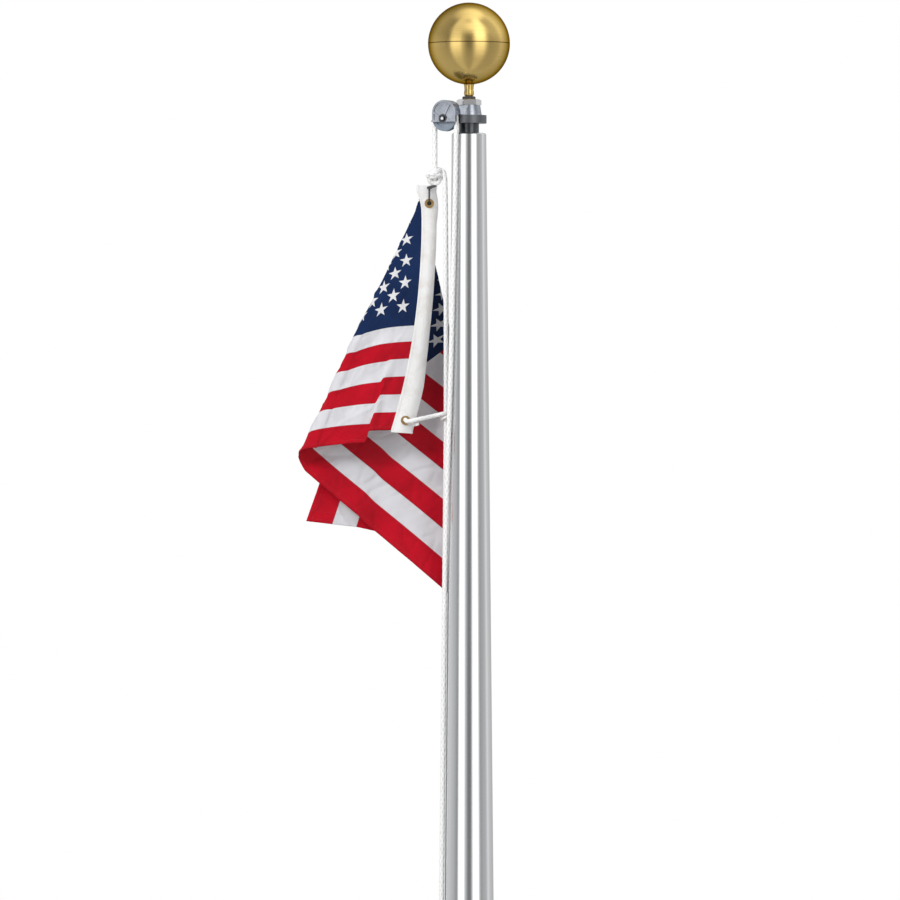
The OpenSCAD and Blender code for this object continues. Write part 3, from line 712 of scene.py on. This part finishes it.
OUTER = turned(SHEAVE_X - SHEAVE_PITCH_R, SHEAVE_Y, AXLE_Z)
KNOT = (OUTER[0], OUTER[1], KNOT_Z)
HEADER_Y = OUTER[1] - 1.5 * MM
HEADER_TOP = TOP - 72.5 * MM
HEADER_LENGTH = 300 * MM
HEADER_SLANT = 0.106
GROMMET_UP = (OUTER[0] - 7.3 * MM, HEADER_TOP - 15 * MM)
GROMMET_LOW = (OUTER[0] - 4.9 * MM - HEADER_SLANT * HEADER_LENGTH, HEADER_TOP - 0.945 * HEADER_LENGTH)
TIE_Z = GROMMET_LOW[1] + 6 * MM
TIE_ANGLE = 175
# The falls leave the cleat's stem this far behind its bar and to each side of it, in mm
CLEAT_BACK, CLEAT_SIDE = 12, 3.7
LONG_STEP, SHORT_STEP, BELAY_STEP = 1.5 * MM, 1.2 * MM, 1.3 * MM


def low_fall(side):
    """Lower part of a fall, on one side of the other, down to the cleat."""
    down = [lane(z, 180 - side * spread(z)) for z in (TOP - 0.9, TAPER_Z, CLEAT_Z + 0.3)]
    return down + beside((CLEAT_BAR_X, 0, CLEAT_Z), [(CLEAT_BACK, side * CLEAT_SIDE, 30)])


def hauling_line():
    angles = [math.radians(a) for a in range(180, -1, -20)]
    over = [turned(SHEAVE_X + SHEAVE_PITCH_R * math.cos(a), SHEAVE_Y,
                   AXLE_Z + SHEAVE_PITCH_R * math.sin(a)) for a in angles]
    down = [lane(TOP - drop * MM, degrees) for drop, degrees in
            ((60, 229), (206, 221), (330, 213), (454, 199), (578, 188))]
    start = beside(KNOT, [(-0.6, 0, -2), (-0.4, 0, 16)])
    return smooth_route(start + over + down + low_fall(-1), LONG_STEP)


def flag_line():
    start = beside((OUTER[0] + KNOT_R, OUTER[1], KNOT_Z),
                   [(-7, 0, 6), (-3.5, 0, 10), (0, 0, 8.5), (1.8, 0, 2), (2.6, 0, -12)])
    down = [lane(TIE_Z, TIE_ANGLE), lane(TOP - 0.578, 173)]
    return smooth_route(start + down + low_fall(1), LONG_STEP)


def coil_line(center, radius, turns, rise, lean):
    """A few turns around an upright line."""
    count = int(turns * 2 * math.pi * radius / SHORT_STEP)
    t = np.linspace(0, 1, count)
    a = t * turns * 2 * math.pi
    return np.stack([center[0] + radius * np.cos(a), center[1] + radius * np.sin(a),
                     center[2] + (t - 0.5) * rise + lean * radius * np.cos(a)], axis=1)


def add_halyard(rope):
    place(rope_piece("halyard_hauling_rope", hauling_line(), rope), ["halyard_hauling_part"])
    place(rope_piece("halyard_flag_rope", flag_line(), rope), ["halyard_flag_part"])
    # Knot: two tight turns around the standing part, a loop below them and a short tail
    wraps = coil_line((OUTER[0], OUTER[1], KNOT_Z + 5 * MM), 6.3 * MM, 2.2, 12 * MM, 0.12)
    loop = beside(KNOT, [(-6, -2, 7), (-7.5, -2, 1), (-5.5, 0, -4.5), (0, 1, -6.5), (4.5, 0, -4),
                         (6, -1, 2)])
    tail = beside(KNOT, [(3, -6, 7), (-3, -8, 5), (-8, -6, 6), (-9.5, -4, 1)])
    knot = [rope_piece("knot_wraps", wraps, rope, 3 * MM),
            rope_piece("knot_loop", smooth_route(loop, SHORT_STEP), rope, 2.8 * MM),
            rope_piece("knot_tail", smooth_route(tail, SHORT_STEP), rope, 2.9 * MM)]
    place(join_pieces("halyard_top_knot", knot), ["halyard_knot"])
    add_tie(rope)
    add_belay(rope)


def add_tie(rope):
    """Short line from the lower grommet, made fast round the fall with two turns."""
    grommet = (GROMMET_LOW[0], HEADER_Y, GROMMET_LOW[1])
    hitch = lane(TIE_Z, TIE_ANGLE)
    run = (beside(grommet, [(-1, -1, 2), (2, -6, -1), (14, -8, 1)])
           + beside(hitch, [(-14, -9, 0), (-5, -8, 2), (1, -6.5, 3)]))
    back = beside(grommet, [(-1, 2, 2), (3, 6, -3), (10, 1, -5), (16, -7, -4)])
    line = [rope_piece("tie_run", smooth_route(run, SHORT_STEP), rope, 2.7 * MM),
            rope_piece("tie_back", smooth_route(back, SHORT_STEP), rope, 2.4 * MM)]
    place(join_pieces("flag_tie_line", line), ["grommet_tie"])
    turns = rope_piece("flag_tie_turns", coil_line(hitch, 5.9 * MM, 2.3, 10 * MM, 0.1), rope, 2.6 * MM)
    place(turns, ["tie_hitch"])


def add_belay(rope):
    """Both falls are turned round the cleat's stem, then crossed over its horns."""
    lines = [[(CLEAT_BACK, s * CLEAT_SIDE, 30), (CLEAT_BACK, s * 9, 24), (CLEAT_BACK, s * 13, 8),
              (CLEAT_BACK, s * 12, -14), (CLEAT_BACK, s * 4, -24), (10, s * -8, -22), (-2, s * -13, -12),
              (-10.5, s * -4, -1), (-9, s * 7, 10), (2, s * 12, 21), (9, s * 4, 27)] for s in (-1, 1)]
    lines.append([(9, -4, 31), (2, -12, 27), (-13, -7, 12), (-16.5, 2, 1), (-12, 10, -12), (2, 11, -28),
                  (8, 0, -32), (2, -11, -28), (-11.5, -11, -14), (-13.5, -1, -6), (-13.5, 8, 6),
                  (-3, 12, 20), (8, 2, 33)])
    pieces = [rope_piece(f"belay_{i}", smooth_route(beside((CLEAT_BAR_X, 0, CLEAT_Z), line), BELAY_STEP),
                         rope, 3 * MM) for i, line in enumerate(lines)]
    place(join_pieces("halyard_cleat_turns", pieces), ["halyard_belay"])


# ---------------------------------------------------------------- flag

# In mm: the front layer's y, the drop at which the cloth starts, and how far down the header it is sewn
FRONT_Y = -8.0
CLOTH_TOP = 80.5
SEWN_LENGTH = 288.7
CORNER_FALL = 0.05


def smoothstep(x, low, high):
    t = np.clip((x - low) / (high - low), 0, 1)
    return t * t * (3 - 2 * t)


def sag(v):
    """Extra drop of the heavy canton's lower edge, in mm."""
    return 4.2 * np.exp(-((v - 0.5) / 0.1) ** 2)


def hoist_edge(v):
    """Where the cloth leaves the header: x, drop below the tube's top and y, in mm."""
    corner = np.exp(-v / CORNER_FALL)
    return np.stack([-57.5 - 38.3 * v ** 2.4 - 4.2 * corner,
                     CLOTH_TOP + SEWN_LENGTH * v + 2.5 * corner + sag(v), HEADER_Y / MM + 0.2], axis=-1)


def flag_row(v, count):
    """One line of the cloth at a constant distance v below its top edge, from hoist to fly, in mm.

    The cloth is folded in three: a front layer that runs from the header out to a rolled fold,
    a middle layer that falls back behind the tube, and the fly that hangs behind both."""
    u = np.linspace(0, 1, count)
    length = FLY / MM
    roll = 15.0 * v
    outward = np.array([-0.906, -0.423])
    downward = np.array([-0.423, 0.906])
    advance = 2.1 * roll
    corner = np.array([-4.2, 2.5]) * math.exp(-v / CORNER_FALL)
    contour = np.array([-58 - 152.7 * v - sag(v), CLOTH_TOP + 318.3 * v + sag(v)]) + corner
    center = contour - roll * outward
    fold_start, fold_end = center - downward * advance / 2, center + downward * advance / 2
    behind = 1 - math.exp(-(v / 0.3) ** 1.5)
    turn_x = -57.5 + 53.6 * behind
    turn_drop = fold_end[1] + (0.71 + 0.146 * v) * (turn_x - fold_end[0])
    turn_y = FRONT_Y + (31.0 - FRONT_Y) * behind ** 0.6
    u_fold = 0.347 * v
    roll_share = math.pi * roll / length
    u_a, u_b = max(u_fold - 0.4 * roll_share, 0), u_fold + 1.1 * roll_share
    across = np.array([turn_x - fold_end[0], turn_drop - fold_end[1], turn_y - FRONT_Y - 2 * roll])
    u_turn = min(u_b + float(np.linalg.norm(across)) / length + 0.004 * v, 0.96)
    back_roll = 5.0 * behind
    u_c = min(u_turn + math.pi * back_roll / length, 1)
    # Front layer
    start = hoist_edge(np.array(v))
    t = np.clip(u / max(u_a, 1e-6), 0, 1)
    x = start[0] + (fold_start[0] - start[0]) * t
    jog = 14.5 * smoothstep(v, 0.62, 0.98)
    jog_x = -100.4 - 26 * (v - 9 / 13) / (4 / 13)
    stepped = smoothstep(-x, -jog_x - 1.2, -jog_x + 1.2)
    drop = start[1] + (fold_start[1] - jog - start[1]) * (0.3 * t + 0.7 * t ** 3) + jog * stepped
    lift = 3.2 * smoothstep(v, 0.6, 0.85) * np.exp(-((x - jog_x - 4) / 5.0) ** 2)
    belly = 5 * np.sin(math.pi * t) * v
    y = start[2] + (FRONT_Y - start[2]) * t - lift - belly + 1.5 * stepped * v
    front = np.stack([x, drop, y], axis=1)
    # Rolled fold
    a = math.pi * np.clip((u - u_a) / max(u_b - u_a, 1e-6), 0, 1)
    rolled = (center + roll * np.sin(a)[:, None] * outward
              + downward * advance * (a / math.pi - 0.5)[:, None])
    fold = np.column_stack([rolled, FRONT_Y + roll * (1 - np.cos(a))])
    # Middle layer
    t = np.clip((u - u_b) / max(u_turn - u_b, 1e-6), 0, 1)
    x = fold_end[0] + (turn_x - fold_end[0]) * t
    drop = fold_end[1] + (turn_drop - fold_end[1]) * t
    crease_x = -103 - 30 * (v - 10 / 13) / (3 / 13)
    creased = smoothstep(x, crease_x - 7, crease_x + 7) - smoothstep(x, crease_x - 45, crease_x + 60)
    drop = drop + 2.5 * creased * smoothstep(v, 0.6, 0.8)
    y = FRONT_Y + 2 * roll + (turn_y - FRONT_Y - 2 * roll) * smoothstep(t, -0.3, 1.05)
    y = y + 3.5 * v * np.sin(math.pi * t) * np.sin(2.6 * math.pi * t + 4 * v)
    middle = np.stack([x, drop, y], axis=1)
    # Turn behind the tube
    a = math.pi * np.clip((u - u_turn) / max(u_c - u_turn, 1e-6), 0, 1)
    turned_back = np.stack([turn_x + back_roll * np.sin(a) * 0.8, turn_drop + back_roll * a * 0.9,
                            turn_y + back_roll * (1 - np.cos(a))], axis=1)
    # Fly, hanging behind
    t = np.clip((u - u_c) / max(1 - u_c, 1e-6), 0, 1)
    end = fly_end(v)
    begin = np.array([turn_x, turn_drop + back_roll * math.pi * 0.9, turn_y + 2 * back_roll])
    if v == 0:
        begin = start
    fly = begin + (end - begin) * t[:, None]
    fly[:, 2] += 5 * np.sin(math.pi * t) + 3 * np.sin(3 * math.pi * t + 9 * v) * np.sin(math.pi * t)
    points = np.where((u < u_a)[:, None], front, fold)
    points = np.where((u >= u_b)[:, None], middle, points)
    points = np.where((u >= u_turn)[:, None], turned_back, points)
    return np.where((u >= u_c)[:, None], fly, points)


# Where the fly's end hangs, from its top corner to its lower one: x, drop and y in mm
FLY_END = np.array([
    (-202.4, 482.3, 36), (-169.9, 486.2, 38), (-140, 489.4, 42), (-112.7, 495.6, 46), (-88, 507, 44),
    (-65.7, 521, 40), (-45.8, 536, 41), (-28.5, 550, 44), (-20, 561, 46), (-14, 572, 44), (-9, 583, 41),
    (-5, 592, 41), (-2, 600, 43), (0, 608, 44)], float)


def fly_end(v):
    at = np.linspace(0, 1, len(FLY_END))
    return np.array([np.interp(v, at, FLY_END[:, k]) for k in range(3)])


def soften(grid, rounds):
    """Evens out the sheet, and keeps its hoist edge where it is sewn."""
    for _ in range(rounds):
        inner = grid.copy()
        inner[:, 1:-1] = (grid[:, :-2] + 2 * grid[:, 1:-1] + grid[:, 2:]) / 4
        across = inner.copy()
        across[1:-1] = (inner[:-2] + 2 * inner[1:-1] + inner[2:]) / 4
        across[:, 0] = grid[:, 0]
        grid = across
    return grid


def grid_normals(grid):
    du, dv = np.gradient(grid, axis=1), np.gradient(grid, axis=0)
    normal = np.cross(du, dv)
    return normal / np.maximum(np.linalg.norm(normal, axis=2), 1e-12)[..., None]


def grid_faces(rows, columns, first_v, last_v):
    """A grid's faces and their corners' UVs, with V from first_v in its first row to last_v."""
    i, k = np.meshgrid(np.arange(rows - 1), np.arange(columns - 1), indexing="ij")
    a = i * columns + k
    faces = np.stack([a, a + columns, a + columns + 1, a + 1], axis=-1).reshape(-1, 4)
    u0, u1 = k / (columns - 1), (k + 1) / (columns - 1)
    v0, v1 = (first_v + (last_v - first_v) * row / (rows - 1) for row in (i, i + 1))
    return faces, np.stack([u0, v0, u0, v1, u1, v1, u1, v0], axis=-1).reshape(-1, 4, 2)


def ripple(u, v, rng, waves, reach):
    """Sum of long soft waves over the cloth, with lengths between 1 and `reach` per metre."""
    total = np.zeros_like(u)
    for _ in range(waves):
        angle = rng.uniform(0, math.pi)
        pitch = rng.uniform(reach * 0.4, reach)
        shift = rng.uniform(0, 2 * math.pi)
        along = u * FLY * math.cos(angle) + v * HOIST * math.sin(angle)
        total += np.sin(2 * math.pi * pitch * along + shift)
    return total / math.sqrt(waves)


def flag_grid(rows, columns):
    v = np.linspace(0, 1, rows)
    grid = np.stack([flag_row(float(a), columns) for a in v])
    grid = soften(grid, 3)
    rng = np.random.default_rng(13)
    uu, vv = np.meshgrid(np.linspace(0, 1, columns), v)
    normal = grid_normals(grid)
    free = smoothstep(uu, 0.0, 0.06)
    # Folds that fan out from the upper corner, soft creases lower down, and puckers along the seams
    fan = np.arctan2(vv * HOIST, uu * FLY + 0.02)
    wave = 0.75 * np.sin(26 * fan + 1.5 * ripple(uu, vv, rng, 4, 5)) * smoothstep(np.hypot(uu, vv), 0.1, 0.6)
    wave += 1.2 * ripple(uu, vv, rng, 9, 30) * smoothstep(vv, 0.1, 0.7)
    # Sharp little creases, as left by packing
    for reach, size in ((14, 1.2), (26, 0.8)):
        wave += size * (1 - np.minimum(np.abs(ripple(uu, vv, rng, 5, reach)) * 2.6, 1)) ** 2
    pucker = np.abs(np.sin(math.pi * 13 * vv)) ** 6
    wave += 0.2 * ripple(uu, vv * 0.15, rng, 7, 150) * (1 - pucker)
    return grid + normal * (wave * free)[..., None]


def to_part(points):
    """From (x, drop, y) in mm to the part's frame."""
    p = np.asarray(points, float)
    return np.stack([p[..., 0] * MM, p[..., 2] * MM, TOP + 1.2 * MM - p[..., 1] * MM], axis=-1)


def keep_clear_of_tube(grid, gap):
    """Moves anything that would touch the tube straight back out of it."""
    p = grid.copy()
    r = np.array([tube_r(z) for z in p[..., 2].ravel()]).reshape(p.shape[:2]) + gap
    reach = np.hypot(p[..., 0], p[..., 1])
    near = reach < r
    least = np.sqrt(np.maximum(r ** 2 - p[..., 0] ** 2, 0))
    p[..., 1] = np.where(near, np.maximum(p[..., 1], least), p[..., 1])
    return p


def add_flag(nylon, canvas, white, red):
    rows, columns = 140, 330
    grid = keep_clear_of_tube(to_part(flag_grid(rows, columns)), 1.5 * MM)
    faces, uvs = grid_faces(rows, columns, 1, 0)
    flag = mesh_piece("flag_sheet", grid.reshape(-1, 3), faces.tolist(), nylon, uvs)
    thick = flag.modifiers.new("cloth_thickness", "SOLIDIFY")
    thick.thickness = 0.35 * MM
    thick.offset = 0
    place(flag, ["flag_cloth"])
    header, edges = add_header(canvas)
    stitches = add_stitches(grid, edges, white, red)


def header_row(share, across):
    """Points over the header at a share of its length, left to right, in (x, drop, y) mm.

    It lies flat beside the cloth and its right part curls back: most at the top, not at all at
    the lower grommet."""
    v = np.clip((share * HEADER_LENGTH / MM - 8.0) / SEWN_LENGTH, 0, 1)
    left = hoist_edge(v) + np.array([-0.6 - 2.5 * (1 - smoothstep(share, 0.01, 0.1)), 0, -0.9])
    left[1] = 66 + share * 306
    seen = np.interp(share, [0, 0.06, 0.16, 0.34, 0.58, 0.7, 0.81, 1],
                     [25, 22, 16.8, 16.6, 18.6, 21.5, 25, 26.5])
    width, flat = 28.0, 8.5
    curled = width - flat
    curls = np.linspace(0.02, 3.0, 300)
    curl = float(np.interp(-(seen - flat) / curled, -np.sin(curls) / curls, curls))
    along = np.linspace(0, width, across)
    bent = np.clip(along - flat, 0, None)
    angle = curl * bent / curled
    x = np.minimum(along, flat) + curled / curl * np.sin(angle)
    y = curled / curl * (1 - np.cos(angle))
    lean = 1.6 * share * along / width
    return np.stack([left[0] + x, left[1] + lean, left[2] + y + 0.5 * np.sin(9 * share + along / 9)], axis=1)


def add_header(canvas):
    """Folded canvas strip, twisted at its top, with an eased cross-section and closed ends."""
    steps, across = 221, 29
    grid = to_part(np.stack([header_row(float(share), across) for share in np.linspace(0, 1, steps)]))
    faces, uvs = grid_faces(steps, across, 0, 1)
    # Hole under the lower brass ring, for the tie line
    middle = grid.reshape(-1, 3)[faces].mean(axis=1)
    kept = np.hypot(middle[:, 0] - GROMMET_LOW[0], middle[:, 2] - GROMMET_LOW[1]) > 2.9 * MM
    header = mesh_piece("flag_header_strip", grid.reshape(-1, 3), faces[kept].tolist(), canvas, uvs[kept])
    thick = header.modifiers.new("canvas_thickness", "SOLIDIFY")
    thick.thickness = 1.5 * MM
    thick.offset = 0
    bevel = header.modifiers.new("soft_edge", "BEVEL")
    bevel.width = 0.4 * MM
    bevel.segments = 2
    bevel.limit_method = "ANGLE"
    place(header, ["flag_header"])
    normal = -grid_normals(grid)
    edges = [(grid[:, c], normal[:, c] * s) for c in (2, across - 3) for s in (-1, 1)]
    return header, edges


def stitch_tree(material):
    """Geometry Nodes: a small thread stitch repeated along each guide line, laid on its normal."""
    tree = bpy.data.node_groups.new("stitch_row", "GeometryNodeTree")
    tree.interface.new_socket("Geometry", in_out="INPUT", socket_type="NodeSocketGeometry")
    for label, value in (("Stitch Length", 2.4 * MM), ("Gap", 0.7 * MM), ("Thread Radius", 0.28 * MM)):
        socket = tree.interface.new_socket(label, in_out="INPUT", socket_type="NodeSocketFloat")
        socket.default_value = value
    tree.interface.new_socket("Geometry", in_out="OUTPUT", socket_type="NodeSocketGeometry")
    n = Nodes(tree)
    start, end = n.add("NodeGroupInput"), n.add("NodeGroupOutput")
    curve = n.add("GeometryNodeMeshToCurve")
    n.link(start.outputs["Geometry"], curve.inputs["Mesh"])
    pitch = n.plus(start.outputs["Stitch Length"], start.outputs["Gap"])
    even = n.add("GeometryNodeResampleCurve", mode="LENGTH")
    n.link(curve.outputs["Curve"], even.inputs["Curve"])
    n.link(pitch, even.inputs["Length"])
    stitch = n.add("GeometryNodeMeshUVSphere")
    stitch.inputs["Segments"].default_value = 6
    stitch.inputs["Rings"].default_value = 5
    n.link(start.outputs["Thread Radius"], stitch.inputs["Radius"])
    long_share = n.math("DIVIDE", n.times(start.outputs["Stitch Length"], 0.5),
                        start.outputs["Thread Radius"])
    size = n.add("ShaderNodeCombineXYZ")
    n.feed(size.inputs["X"], 1.0)
    n.feed(size.inputs["Y"], 1.0)
    n.link(long_share, size.inputs["Z"])
    tangent = n.add("GeometryNodeInputTangent")
    align = n.add("FunctionNodeAlignRotationToVector", axis="Z")
    n.link(tangent.outputs["Tangent"], align.inputs["Vector"])
    place_stitches = n.add("GeometryNodeInstanceOnPoints")
    n.link(even.outputs["Curve"], place_stitches.inputs["Points"])
    n.link(stitch.outputs["Mesh"], place_stitches.inputs["Instance"])
    n.link(align.outputs["Rotation"], place_stitches.inputs["Rotation"])
    n.link(size.outputs["Vector"], place_stitches.inputs["Scale"])
    real = n.add("GeometryNodeRealizeInstances")
    n.link(place_stitches.outputs["Instances"], real.inputs["Geometry"])
    smooth = n.add("GeometryNodeSetShadeSmooth")
    n.link(real.outputs["Geometry"], smooth.inputs["Geometry"])
    paint = n.add("GeometryNodeSetMaterial")
    paint.inputs["Material"].default_value = material
    n.link(smooth.outputs["Geometry"], paint.inputs["Geometry"])
    n.link(paint.outputs["Geometry"], end.inputs["Geometry"])
    return tree


def grown_mesh(name, lines, tree, values):
    """Runs a Geometry Nodes tree over guide lines and keeps the result as a plain mesh."""
    points, edges = [], []
    for line in lines:
        base = len(points)
        points += [tuple(p) for p in line]
        edges += [(base + i, base + i + 1) for i in range(len(line) - 1)]
    guide_mesh = bpy.data.meshes.new(name + "_guide")
    guide_mesh.from_pydata(points, edges, [])
    guide = bpy.data.objects.new(name + "_guide", guide_mesh)
    bpy.context.scene.collection.objects.link(guide)
    grow = guide.modifiers.new("grow", "NODES")
    grow.node_group = tree
    identifiers = {s.name: s.identifier for s in tree.interface.items_tree if s.in_out == "INPUT"}
    for label, value in values.items():
        grow[identifiers[label]] = value
    shown = guide.evaluated_get(bpy.context.evaluated_depsgraph_get())
    mesh = bpy.data.meshes.new_from_object(shown)
    mesh.name = name
    piece = bpy.data.objects.new(name, mesh)
    bpy.context.scene.collection.objects.link(piece)
    guide.modifiers.remove(grow)
    bpy.data.objects.remove(guide)
    return piece


def add_stitches(grid, header_edges, white, red):
    """Stitching beside the header's edges and along the hems, in thread that matches the cloth."""
    pale_lines = [edge + normal * 0.85 * MM for edge, normal in header_edges]
    red_lines = []
    normal = -grid_normals(grid)
    rows, columns = grid.shape[:2]
    for side in (-1, 1):
        skin = grid + normal * side * 0.2 * MM
        red_lines += [skin[2, int(columns * CANTON_FLY) + 2:], skin[rows - 3]]
        for stripe in range(13):
            first, last = round(stripe * (rows - 1) / 13), round((stripe + 1) * (rows - 1) / 13) + 1
            matching = red_lines if stripe % 2 == 0 else pale_lines
            matching += [skin[first:last, columns - 4], skin[first:last, columns - 12]]
    sizes = {"Stitch Length": 2.2 * MM, "Gap": 0.9 * MM, "Thread Radius": 0.16 * MM}
    pale = grown_mesh("stitching_white", pale_lines, stitch_tree(white), sizes)
    dark = grown_mesh("stitching_red", red_lines, stitch_tree(red), sizes)
    return [place(pale), place(dark)]


# ---------------------------------------------------------------- finishes on the frame's own parts

def dress_parts(finishes):
    for name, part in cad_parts.items():
        material = finishes.get(name)
        if material is None:
            continue
        part.data.materials.clear()
        part.data.materials.append(material)


def main():
    bpy.context.scene.view_settings.view_transform = "Standard"
    add_camera()
    rope = rope_fibre()
    add_halyard(rope)
    add_studio()
    add_floor()
    add_area_light("key", (-3.0, -3.4, TOP + 2.2), (1.2, 1.4), 170)
    wear, weave = metal_wear_group(), weave_group()
    satin = satin_aluminium(wear)
    base_cast = cast_aluminium(wear, "base_cast", (0.58, 0.6, 0.62), (0.36, 0.37, 0.39))
    truck_cast = cast_aluminium(wear, "truck_cast", (0.47, 0.5, 0.56), (0.26, 0.28, 0.32), flange_stain_and_axle_shade=True)
    dark_cast = cast_aluminium(wear, "neck_cast", (0.13, 0.14, 0.15), (0.06, 0.065, 0.07))
    dark_steel = turned_metal(wear, "dark_steel", (0.12, 0.12, 0.13), 0.3, (0.05, 0.05, 0.05))
    steel = turned_metal(wear, "zinc_steel", (0.62, 0.63, 0.65), 0.32, (0.4, 0.4, 0.41))
    bright = turned_metal(wear, "bright_plate", (0.9, 0.9, 0.92), 0.12, (0.75, 0.76, 0.78))
    axle_steel = turned_metal(wear, "axle_steel", (0.9, 0.9, 0.92), 0.2, (0.75, 0.76, 0.78), shaded_axle_rim=True)
    gold = gold_shell(wear)
    brass = turned_metal(wear, "grommet_brass", (0.78, 0.52, 0.22), 0.28, (0.5, 0.3, 0.14))
    pulley = sheave_finish(wear)
    dress_parts({
        "base_flange": base_cast, "base_set_screws": steel, "pole_tube": satin, "top_bushing": dark_cast,
        "truck_spindle": dark_cast, "truck_body": truck_cast, "sheave": pulley, "sheave_axle": axle_steel,
        "truck_nut": bright, "ball_jam_nut": dark_steel, "ball_rod": steel, "ball_neck": gold,
        "ball_lower_half": gold, "ball_upper_half": gold, "cleat": base_cast, "cleat_screw_upper": steel,
        "cleat_screw_lower": steel, "snap_hook": dark_steel, "snap_swivel": dark_steel,
        "grommet_upper": brass, "grommet_lower": brass,
    })
    add_flag(flag_nylon(weave), header_canvas(weave), thread_finish("white_thread", (0.85, 0.85, 0.83)),
             thread_finish("red_thread", (0.42, 0.01, 0.02)))


main()
